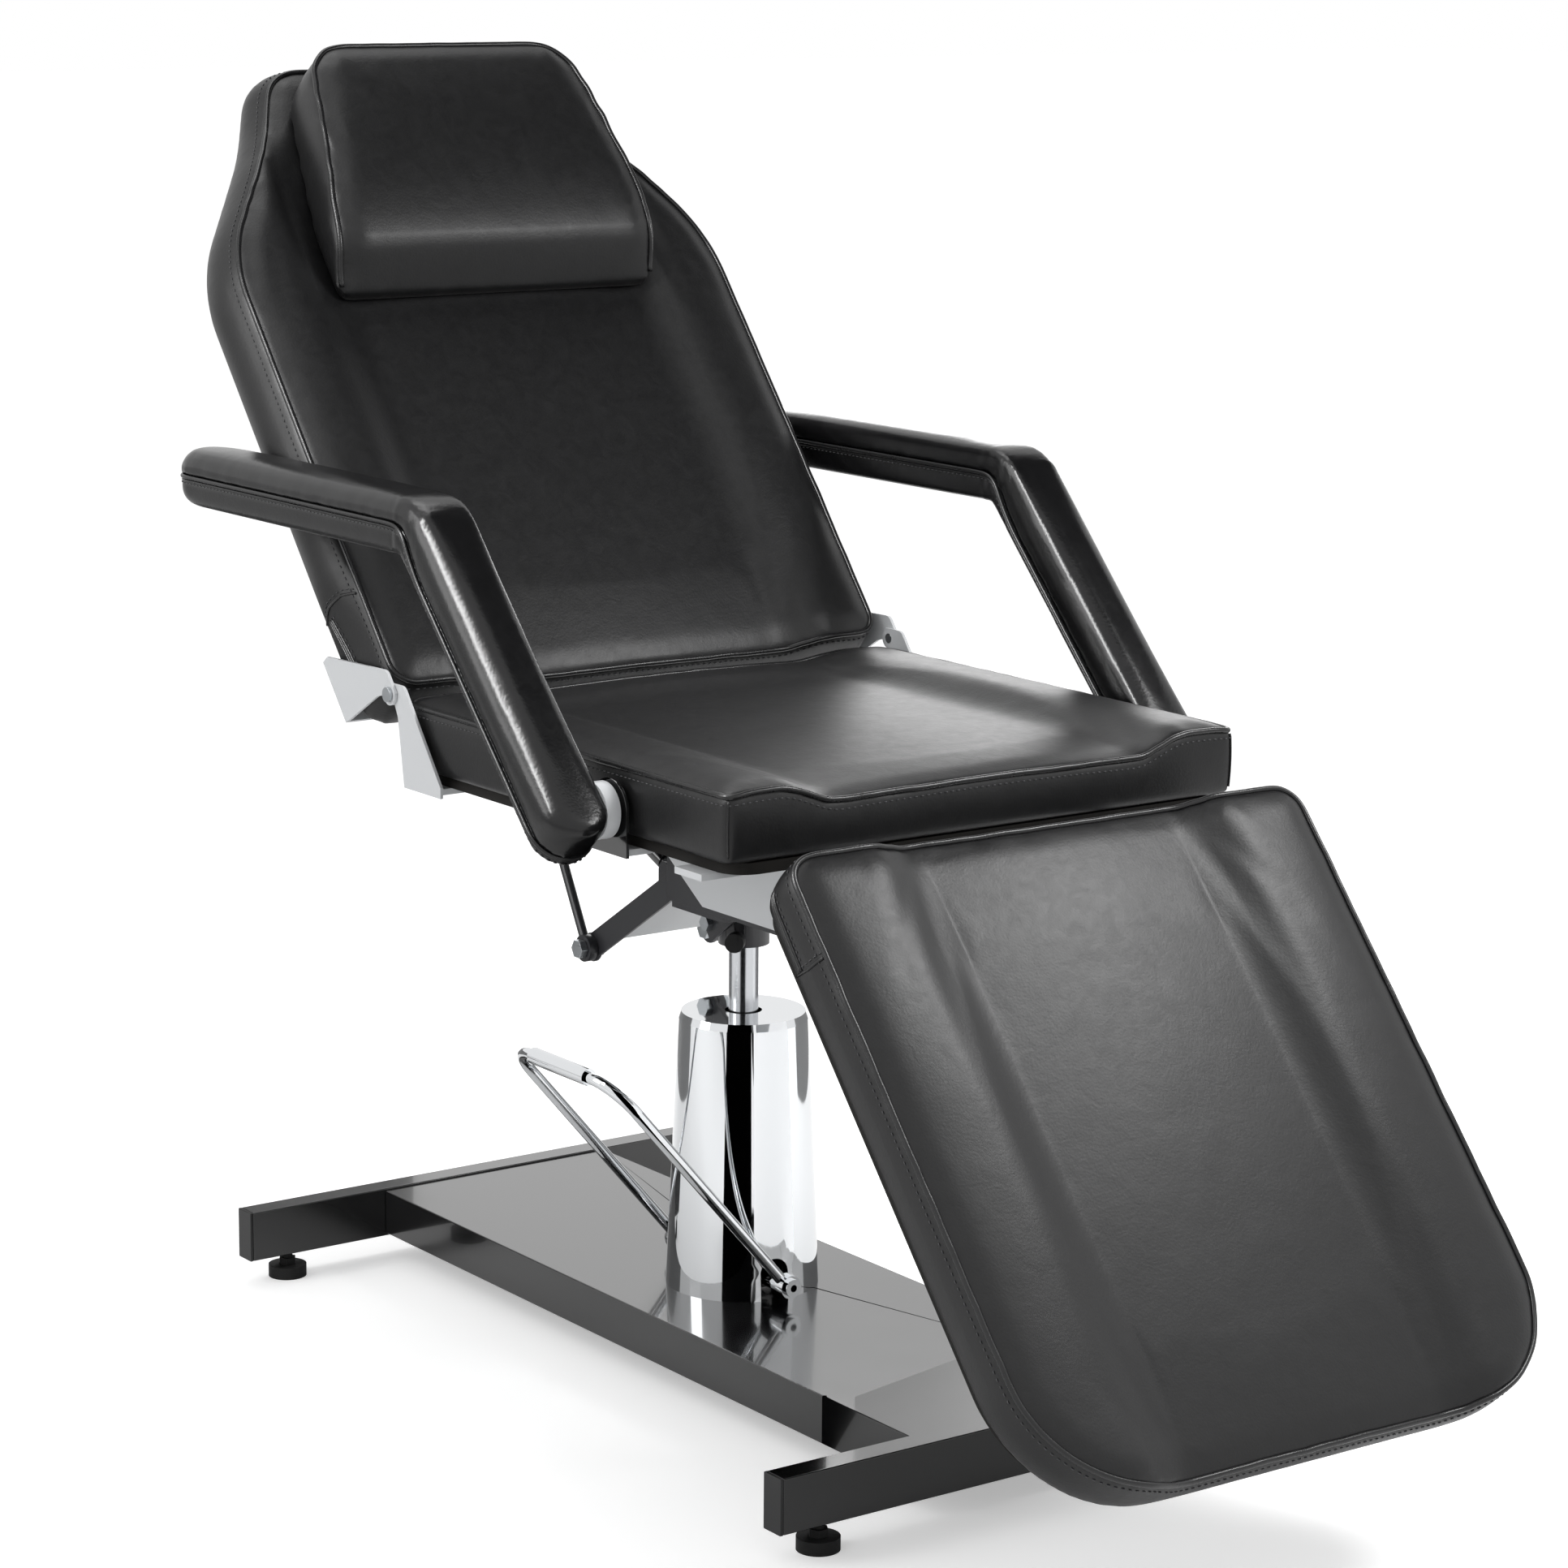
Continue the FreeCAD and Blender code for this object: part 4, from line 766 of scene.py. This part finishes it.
def side_opening(name, surface, cross, slit, place, body):
    """Seam across a side wall with its stitches, and the zip that runs up to it."""
    for side, word in ((-1, "right"), (1, "left")):
        reach = side * (HALF_WIDTH + WALL_STAND_OFF)
        seam = side_line([(reach, along, height) for along, height in cross], surface, 0.2)
        pieces = [tube(name + "_cross_fold_" + word, seam, FOLD_RADIUS, materials["piping"], False, 8)]
        beside = side_line([(reach, along + CROSS_STITCH_OFFSET, height) for along, height in cross],
                           surface, 0.0)
        pieces.append(stitches(name + "_cross_stitches_" + word, beside, surface, False, materials["thread"]))
        for number, offset, size, look in ((0, -ZIP_TAPE_OFFSET, ZIP_TAPE_RADIUS, "piping"),
                                           (4, 0.0, ZIP_RADIUS, "zip"),
                                           (8, ZIP_TAPE_OFFSET, ZIP_TAPE_RADIUS, "piping")):
            rail = side_line([(reach, along, height + offset) for along, height in slit], surface, 0.1)
            pieces.append(tube("%s_zip_%d_%s" % (name, number, word), rail, size, materials[look], False, 8))
        row = side_line([(reach, along, height + ZIP_STITCH_OFFSET) for along, height in slit], surface, 0.0)
        pieces.append(stitches(name + "_zip_stitches_" + word, row, surface, False, materials["thread"]))
        for piece in pieces:
            settle(piece, place, body)


def corner_seams(name, surface, low, high, end, place, body):
    """Upright seams at a panel's two corners, where its front and side cloths are sewn together."""
    for side, word in ((-1, "right"), (1, "left")):
        reach = side * (HALF_WIDTH + CORNER_STAND_OFF)
        beyond = end - CORNER_STAND_OFF
        line = side_line([(reach, beyond, height) for height in (high, (low + high) / 2, low)], surface, 0.1)
        seam = tube(name + "_corner_seam_" + word, line, CORNER_SEAM_RADIUS, materials["piping"], False, 8)
        settle(seam, place, body)


def inset_rows(corners, radii, step=8.0):
    """Rows of an outline drawn in by the room that the swelling takes."""
    room = SWELL_ROOM
    first, last = corners[0][0] + room, corners[-1][0] - room
    moved = []
    for position, half_width in corners:
        position = min(last, max(first, position))
        moved.append((position, max(0.0, half_width - room) if half_width else 0.0))
    return half_outline(moved, radii, step)


seat_rows = inset_rows([(SEAT_FRONT, 0), (SEAT_FRONT, HALF_WIDTH), (SEAT_REAR, HALF_WIDTH), (SEAT_REAR, 0)],
                       [7.0, 18.0])
back_rows = inset_rows([(BACK_START, 0), (BACK_START, HALF_WIDTH), (BACK_SHOULDER, HALF_WIDTH),
                        (BACK_WAIST, BACK_WAIST_HALF_WIDTH), (BACK_END, BACK_TOP_HALF_WIDTH), (BACK_END, 0)],
                       [24.0, 160.0, 400.0, 44.0])
leg_rows = inset_rows([(LEG_FAR, 0), (LEG_FAR, HALF_WIDTH), (LEG_NEAR, HALF_WIDTH), (LEG_NEAR, 0)],
                      [112.0, 26.0])

seat_surface = upholstered_panel(
    "seat", "seat_cushion", seat_rows, SEAT_TOP, SEAT_BOTTOM, CREASE_X, bulge=even_bulge(1.5), draw=1.0,
    fade=(SEAT_DISH_FADE_START, SEAT_DISH_FADE_SHARE), place=seat_place, body="seat_frame", seed=1.0)
back_surface = upholstered_panel(
    "back", "back_cushion", back_rows, BACK_TOP, BACK_BOTTOM, CREASE_X, bulge=(4.0, 13.0, 60.0, 160.0),
    draw=-3.0, fade=(BACK_SHOULDER, 0.0), place=back_place, body="backrest", seed=2.0)
leg_surface = upholstered_panel(
    "leg_rest", "leg_cushion", leg_rows, LEG_TOP, LEG_BOTTOM, LEG_CREASE_X, bulge=even_bulge(4.0), draw=3.0,
    fade=(LEG_FAR, 0.0), place=leg_place, body="legrest", seed=3.0)
corner_seams("seat", seat_surface, SEAT_BOTTOM + 6, SEAT_TOP - 12, SEAT_FRONT, seat_place, "seat_frame")
side_opening("back", back_surface, [(112.0, -2.0), (120.0, -22.0), (121.0, -45.0), (115.0, -70.0)],
             [(112.0, -54.0), (60.0, -50.0), (24.0, -50.0)], back_place, "backrest")
side_opening("leg_rest", leg_surface, [(-96.0, 96.0), (-95.0, 70.0), (-90.0, 46.0)],
             [(-91.0, 55.0), (-50.0, 57.0), (-14.0, 59.0)], leg_place, "legrest")


# Headrest pillow

def pillow_top(x, y, half_width):
    """Steep front facet, a ridge, and a nearly level top whose edges dip to the piping."""
    run = y - PILLOW_START
    base = BACK_TOP - 2
    facet = base + (PILLOW_RIDGE - base) * run / PILLOW_FACET
    climb = 1 - math.exp(-max(0.0, run - PILLOW_FACET) / PILLOW_SWELL_RUN)
    level = PILLOW_RIDGE + (PILLOW_TOP - PILLOW_RIDGE) * climb
    blend = PILLOW_RIDGE_BLEND
    height = -blend * math.log(math.exp(-facet / blend) + math.exp(-level / blend))
    inside = min(half_width - abs(x), PILLOW_END - y)
    roll = PILLOW_EDGE_ROLL * (1 - smooth_step(inside / PILLOW_ROLL_REACH))
    return height - SWELL_ROOM - roll * smooth_step(run / PILLOW_ROLL_START)


def under_pillow(x, y):
    """Underside that lies in the back cushion's dish and on its bolsters."""
    rise = smooth_step((abs(x) - CREASE_X + CREASE_BLEND) / (2 * CREASE_BLEND))
    return BACK_TOP - PILLOW_SINK - PILLOW_DISH * (1 - rise)


def headrest():
    """Pillow with piping round its top edge, apart from the front one that lies on the back."""
    corners = [(PILLOW_START, 0), (PILLOW_START, PILLOW_HALF_WIDTH),
               (PILLOW_START + PILLOW_STRAIGHT, PILLOW_HALF_WIDTH), (PILLOW_END, PILLOW_END_HALF_WIDTH),
               (PILLOW_END, 0)]
    rows = inset_rows(corners, [9.0, 260.0, 46.0], PILLOW_ROW_STEP)
    shape = cushion_shape(rows, pillow_top, under_pillow, (2.0, 3.0, 440.0, 480.0), draw=2.0, columns=72)
    cover = mesh_object("headrest_cover", shape["points"], shape["faces"], materials["black_leather"])
    edge = evenly(shape["edge"], SEAM_STEP, True)
    at_edge = near_line(edge, HELD_REACH)
    ridge_line = [Vector((x, PILLOW_START + PILLOW_FACET, PILLOW_RIDGE - SWELL_ROOM))
                  for x in range(-PILLOW_RIDGE_END, PILLOW_RIDGE_END + 1, 6)]
    at_ridge = near_line(ridge_line, PILLOW_RIDGE_REACH)

    def held(point):
        if point.z < under_pillow(point.x, point.y) + PILLOW_GRIP:
            return 1.0
        return max(at_edge(point), PILLOW_RIDGE_HOLD * at_ridge(point))

    remesh(cover, VOXEL)
    swell(cover, held, PRESSURE, SWELL_CAP, KEPT_SHARE)
    ripple(cover, edge, reach=PUCKER_REACH, height=0.8, spacing=22.0, seed=4.0)
    surface = surface_of(cover)
    refine(cover)
    seam = laid_on(edge, surface, PIPING_RADIUS * PIPING_LIFT_SHARE)
    open_seam = [point for point in seam if point.y > PILLOW_START + PILLOW_OPEN_SEAM]
    piping = tube("headrest_piping", relaxed(open_seam, False), PIPING_RADIUS, materials["piping"], False)
    for piece in (cover, piping):
        settle(piece, back_place, "pillow")
    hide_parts("headrest_pillow")


headrest()


# Armrests

def arm_path():
    """Stations along the armrest's top face: (point, direction down into the pad), in Y and Z."""
    slope = math.radians(ARM_SLOPE)
    along = Vector((-math.cos(slope), -math.sin(slope)))
    tip = Vector((ARM_TIP_Y, ARM_TOP_Z))
    elbow = Vector((ARM_ELBOW_Y, ARM_TOP_Z))
    end = elbow + along * ARM_LOW_LENGTH
    run = ARM_ELBOW_RADIUS * math.tan(slope / 2)
    flat_count, bend_count, low_count = 90, 16, 66
    stations = []
    flat_end = elbow + Vector((run, 0.0))
    for number in range(flat_count):
        stations.append((tip.lerp(flat_end, number / flat_count), Vector((0.0, -1.0))))
    centre = flat_end + Vector((0.0, -ARM_ELBOW_RADIUS))
    for number in range(bend_count + 1):
        turn = slope * number / bend_count
        down = Vector((math.sin(turn), -math.cos(turn)))
        stations.append((centre - down * ARM_ELBOW_RADIUS, down))
    low_start = elbow + along * run
    down = Vector((math.sin(slope), -math.cos(slope)))
    for number in range(1, low_count + 1):
        stations.append((low_start.lerp(end, number / low_count), down))
    return stations


ARM_STATIONS = arm_path()
ARM_LENGTHS = [0.0]
for (here, _), (there, _) in zip(ARM_STATIONS, ARM_STATIONS[1:]):
    ARM_LENGTHS.append(ARM_LENGTHS[-1] + (there - here).length)
ARM_LENGTH = ARM_LENGTHS[-1]
ARM_BEND = ARM_TIP_Y - ARM_ELBOW_Y


def arm_seam_depth(along):
    """Depth of the armrest's seam: half way down the level part, near the underside past the elbow."""
    share = smooth_step((along - ARM_BEND + ARM_SEAM_LEAD) / ARM_SEAM_RUN)
    return ARM_FLAT_SEAM + (ARM_SLOPED_SEAM - ARM_FLAT_SEAM) * share


def bent(side, x, along, depth):
    """Point of the straight armrest carried to its bent path."""
    along = min(ARM_LENGTH - 1e-3, max(0.0, along))
    index = bisect.bisect_right(ARM_LENGTHS, along) - 1
    share = (along - ARM_LENGTHS[index]) / (ARM_LENGTHS[index + 1] - ARM_LENGTHS[index])
    spot = ARM_STATIONS[index][0].lerp(ARM_STATIONS[index + 1][0], share)
    down = ARM_STATIONS[index][1].lerp(ARM_STATIONS[index + 1][1], share).normalized()
    place = spot + down * depth
    return Vector((side * (ARM_CENTRE_X + x), place.x, place.y))


def arm_inside(x, along):
    """Distance from the armrest's outline, whose ends are half-round."""
    half = ARM_HALF_WIDTH
    from_end = min(along, ARM_LENGTH - along)
    return half - (abs(x) if from_end > half else math.hypot(x, half - from_end))


def rounded_drop(inside, radius):
    """Drop of a face whose edge is rounded with a radius."""
    gap = max(0.0, 1 - inside / radius)
    return radius * (1 - math.sqrt(max(0.0, 1 - gap * gap)))


def arm_half(name, side, upper):
    """Closed cover of an armrest's upper or lower half."""
    half = ARM_HALF_WIDTH - (ARM_PAD_INSET if upper else ARM_BASE_INSET)
    end_radius = half - ARM_END_FLAT
    rows = half_outline([(0.0, 0), (0.0, half), (ARM_LENGTH, half), (ARM_LENGTH, 0)],
                        [end_radius, end_radius], ARM_ROW_STEP)

    def face(x, along, _):
        seam = arm_seam_depth(along)
        inside = arm_inside(x, along) + ARM_EDGE_ROOM
        tip_share = 1 - smooth_step(along / ARM_TIP_REACH)
        if not upper:
            rise = ARM_DEPTH - seam
            under = ARM_UNDER_CORNER + (ARM_TIP_CORNER - ARM_UNDER_CORNER) * tip_share
            return rise - rounded_drop(inside, min(under, rise))
        outer_share = smooth_step((x + half) / (2 * half))
        radius = ARM_INNER_CORNER + (ARM_OUTER_CORNER - ARM_INNER_CORNER) * outer_share
        radius += (ARM_TIP_CORNER - radius) * tip_share
        return seam + ARM_RAISE * (1 - (x / half) ** 2) - rounded_drop(inside, radius)

    shape = cushion_shape(rows, face, lambda x, along: 0.0, even_bulge(1.0), draw=0.2, columns=20, levels=5)
    flip = upper == (side < 0)
    points = []
    for point in shape["points"]:
        depth = arm_seam_depth(point.y) - (point.z if upper else -point.z)
        points.append(bent(side, point.x, point.y, depth))
    faces = [tuple(reversed(quad)) if flip else quad for quad in shape["faces"]]
    return mesh_object(name, points, faces, materials["arm_leather"])


def arm_ring(side, half_width, extra):
    """Closed line round the armrest at its seam, or extra millimetres further down."""
    ring = []
    count = 260
    for way in (1, -1):
        for number in range(count):
            along = ARM_LENGTH * number / (count - 1)
            if way < 0:
                along = ARM_LENGTH - along
            from_end = min(along, ARM_LENGTH - along)
            gap = max(0.0, 1 - from_end / half_width)
            reach = half_width * math.sqrt(max(0.0, 1 - gap * gap))
            ring.append(bent(side, way * reach, along, arm_seam_depth(along) + extra))
    return ring


def armrest(side, word):
    """Swollen upper half and plain lower half, piping and a fold between them, and stitches below."""
    pad = arm_half("armrest_pad_cover_" + word, side, True)
    core = arm_half("armrest_base_cover_" + word, side, False)
    seam_line = evenly(arm_ring(side, ARM_HALF_WIDTH, 0.0), SEAM_STEP, True)
    remesh(pad, ARM_VOXEL)
    remesh(core, ARM_VOXEL)
    swell(pad, near_line(seam_line, ARM_HELD_REACH), ARM_PRESSURE, ARM_SWELL_CAP, ARM_KEPT_SHARE)
    elbow = [Vector((side * (ARM_CENTRE_X + reach), ARM_ELBOW_Y + along, ARM_TOP_Z - 30))
             for along in range(-18, 40, 6) for reach in (-26, 26)]
    ripple(pad, elbow, reach=14.0, height=2.6, spacing=9.0, seed=7.0)
    ripple(core, elbow, reach=16.0, height=2.6, spacing=8.0, seed=8.0)
    ripple(pad, seam_line, reach=9.0, height=1.0, spacing=17.0, seed=9.0)
    core_surface = surface_of(core)
    refine(pad)
    refine(core)
    piping = tube("armrest_piping_" + word, relaxed(seam_line, True), ARM_PIPING_RADIUS,
                  materials["piping"], True)
    fold = evenly(arm_ring(side, ARM_HALF_WIDTH - ARM_STRIP_INSET, ARM_STRIP_DROP), SEAM_STEP, True)
    strip = tube("armrest_strip_" + word, relaxed(fold, True), ARM_STRIP_RADIUS, materials["piping"], True)
    under = evenly(arm_ring(side, ARM_HALF_WIDTH - ARM_STITCH_INSET, ARM_STITCH_DROP), STITCH_LINE_STEP, True)
    line = laid_on(under, core_surface, 0.0)
    seam_thread = stitches("armrest_stitches_" + word, line, core_surface, True, materials["thread"])
    for piece in (pad, core, piping, strip, seam_thread):
        settle(piece, seat_place, "armrest_" + word)
    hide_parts("armrest_pad_" + word)
    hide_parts("armrest_core_" + word)


armrest(1, "left")
armrest(-1, "right")


# Carried-over CAD nodes

# Width of the softened edges by slot
EDGE_WIDTHS = {
    "painted_black": 1.2,
    "dark_arm_steel": 0.7,
    "silver_paint": 0.7,
    "black_plastic": 0.8,
    "zinc_steel": 0.4,
}
EDGE_ANGLE = 50.0
WELD_DISTANCE = 1e-5

# The photograph doesn't show the armrest mounts, so they are painted like the base
OTHER_FINISH = {"armrest_mounts": "painted_black"}


def dress_cad():
    """Every carried-over node takes a real finish, its slot's own but for OTHER_FINISH, and soft edges."""
    slots = {part["node"]: part["material_slot"] for part in frame["record"]["subparts"]}
    for name, node in frame["nodes"].items():
        slot = slots[name]
        made = materials[OTHER_FINISH.get(name, slot)]
        if not node.data.materials:
            node.data.materials.append(made)
        for material_slot in node.material_slots:
            material_slot.material = made
        if slot in EDGE_WIDTHS:
            weld = node.modifiers.new("weld", "WELD")
            weld.merge_threshold = WELD_DISTANCE
            edges = node.modifiers.new("soft edges", "BEVEL")
            edges.width = EDGE_WIDTHS[slot] * MM
            edges.segments = 2
            edges.limit_method = "ANGLE"
            edges.angle_limit = math.radians(EDGE_ANGLE)
            edges.harden_normals = True


dress_cad()


# Stage, light and camera

FLOOR_GLOW = 0.38
AMBIENT = 0.72


def face_towards(point, target):
    return (Vector(target) - Vector(point)).to_track_quat("-Z", "Y")


def softbox(name, place, target, width, height, power):
    """Rectangular lamp that faces its target."""
    lamp = bpy.data.lights.new(name, "AREA")
    lamp.shape = "RECTANGLE"
    lamp.size = width
    lamp.size_y = height
    lamp.energy = power
    made = bpy.data.objects.new(name, lamp)
    made.location = place
    made.rotation_mode = "QUATERNION"
    made.rotation_quaternion = face_towards(place, target)
    bpy.context.scene.collection.objects.link(made)
    return made


def seen_in_reflections_only(thing):
    """Takes a lamp or card out of everything but mirror-like reflections."""
    thing.visible_camera = False
    thing.visible_diffuse = False
    thing.visible_transmission = False


def sheet_object(name, width, height, material):
    """Flat four-cornered sheet for the floor and for cards beside the set."""
    mesh = bpy.data.meshes.new(name)
    w, h = width / 2, height / 2
    mesh.from_pydata([(-w, -h, 0), (w, -h, 0), (w, h, 0), (-w, h, 0)], [], [(0, 1, 2, 3)])
    mesh.materials.append(material)
    made = bpy.data.objects.new(name, mesh)
    bpy.context.scene.collection.objects.link(made)
    return made


def white_floor():
    """Pale floor: white to the camera, and it still takes the chair's shadow."""
    made, tree, shader, _ = new_material("pale studio floor", "#f1f1f1", 0.0, 0.9, 0.0)
    seen = add_node(tree, "ShaderNodeLightPath")
    shown = add_node(tree, "ShaderNodeMath", {"operation": "MAXIMUM"},
                     {0: (seen, "Is Camera Ray"), 1: (seen, "Is Transmission Ray")})
    strength = add_node(tree, "ShaderNodeMath", {"operation": "MULTIPLY", 1: FLOOR_GLOW},
                        {0: (shown, "Value")})
    shader.inputs["Emission Color"].default_value = linear("#ffffff")
    tree.links.new(strength.outputs["Value"], shader.inputs["Emission Strength"])
    sheet_object("floor", 60.0, 60.0, made)


def card(name, place, target, width, height, shade, glow=0.0):
    """Card that only reflections see, as beside a photographed mirror-bright part."""
    made, _, shader, _ = new_material(name, shade, 0.0, 1.0, 0.0)
    shader.inputs["Emission Color"].default_value = linear(shade)
    shader.inputs["Emission Strength"].default_value = glow
    sheet = sheet_object(name, width, height, made)
    sheet.location = place
    sheet.rotation_mode = "QUATERNION"
    sheet.rotation_quaternion = face_towards(place, target)
    seen_in_reflections_only(sheet)
    sheet.visible_shadow = False


def card_round_cover(name, degrees, distance, width, height, shade, glow=0.0):
    """Card that faces the pump cover; degrees turn from the camera's side towards the picture's left."""
    turn = math.radians(degrees)
    to_camera = Vector((-0.584, -0.812))
    to_left = Vector((-0.8126, 0.5828))
    over_floor = 0.002
    towards = to_camera * math.cos(turn) + to_left * math.sin(turn)
    place = Vector((towards.x * distance, axis_y + towards.y * distance, height / 2 + over_floor))
    card(name, place, (0.0, axis_y, place.z), width, height, shade, glow)


def white_world():
    """White behind the chair for the camera and in reflections, and plain soft light elsewhere."""
    world = bpy.data.worlds.new("studio")
    bpy.context.scene.world = world
    world.use_nodes = True
    tree = world.node_tree
    tree.nodes.clear()
    seen = add_node(tree, "ShaderNodeLightPath")
    direct = add_node(tree, "ShaderNodeMath", {"operation": "MAXIMUM"},
                      {0: (seen, "Is Camera Ray"), 1: (seen, "Is Glossy Ray")})
    shown = add_node(tree, "ShaderNodeMath", {"operation": "MAXIMUM"},
                     {0: (direct, "Value"), 1: (seen, "Is Transmission Ray")})
    ambient = add_node(tree, "ShaderNodeBackground", {"Color": linear("#ffffff"), "Strength": AMBIENT})
    white = add_node(tree, "ShaderNodeBackground", {"Color": linear("#ffffff"), "Strength": 1.0})
    mixed = add_node(tree, "ShaderNodeMixShader", {}, {0: (shown, "Value"), 1: (ambient, 0), 2: (white, 0)})
    add_node(tree, "ShaderNodeOutputWorld", {}, {"Surface": (mixed, 0)})


def photo_camera():
    """Camera at the photograph's place, as fitted to it."""
    right = Vector((0.8125918556, -0.5827873987, 0.0073023444))
    up = Vector((0.1091227104, 0.1644355329, 0.9803332034))
    back = Vector((-0.5725266023, -0.7958139252, 0.1972143153))
    lens = bpy.data.cameras.new("camera")
    lens.sensor_width = 36.0
    lens.lens = 99.71
    lens.clip_end = 100.0
    made = bpy.data.objects.new("camera", lens)
    turn = Matrix((right, up, back)).transposed().to_4x4()
    place = Vector((-2.284444, axis_y - 3.237969, 1.350713))
    made.matrix_world = Matrix.Translation(place) @ turn
    bpy.context.scene.collection.objects.link(made)
    bpy.context.scene.camera = made


white_floor()
white_world()
key = softbox("key softbox", (1.32, -1.3, 2.2), (0.0, -0.45, 0.45), width=0.9, height=0.9, power=52.0)
key.visible_glossy = False
sheen = softbox("sheen on the leg rest", (0.8, -0.83, 1.53), (0.0, -0.4, 0.6), width=0.45, height=0.45,
                power=11.0)
seen_in_reflections_only(sheen)
softbox("left softbox", (-2.4, 0.9, 1.9), (0.0, 0.1, 0.7), width=1.0, height=2.0, power=26.0)
softbox("top softbox", (0.2, 0.9, 3.0), (0.0, 0.1, 0.6), width=1.6, height=1.0, power=14.0)
streak = softbox("strip over the armrest", (-1.65, -0.05, 2.2), (-0.33, 0.0, 0.75), width=0.3, height=1.3,
                 power=50.0)
streak.visible_diffuse = False
panel = softbox("panel behind the chair", (1.0, 1.05, 1.0), (0.0, -0.15, 0.65), width=1.0, height=0.36,
                power=4.0)
seen_in_reflections_only(panel)
card_round_cover("dark card before the cover", 6.5, 0.32, 0.23, 0.55, "#030303")
card_round_cover("light card beside the leg rest", -48.0, 0.3, 0.36, 0.6, "#f4f4f4", 0.7)
card_round_cover("grey card left of the cover", 132.0, 1.1, 1.2, 0.5, "#8f8f8f")
card_round_cover("grey card right of the cover", -132.0, 1.1, 1.2, 0.5, "#8f8f8f")
card("flag over the back", (1.1, 0.0, 2.5), (0.0, 0.5, 0.95), 2.0, 2.0, "#050505")
photo_camera()
bpy.context.scene.view_settings.view_transform = "Standard"
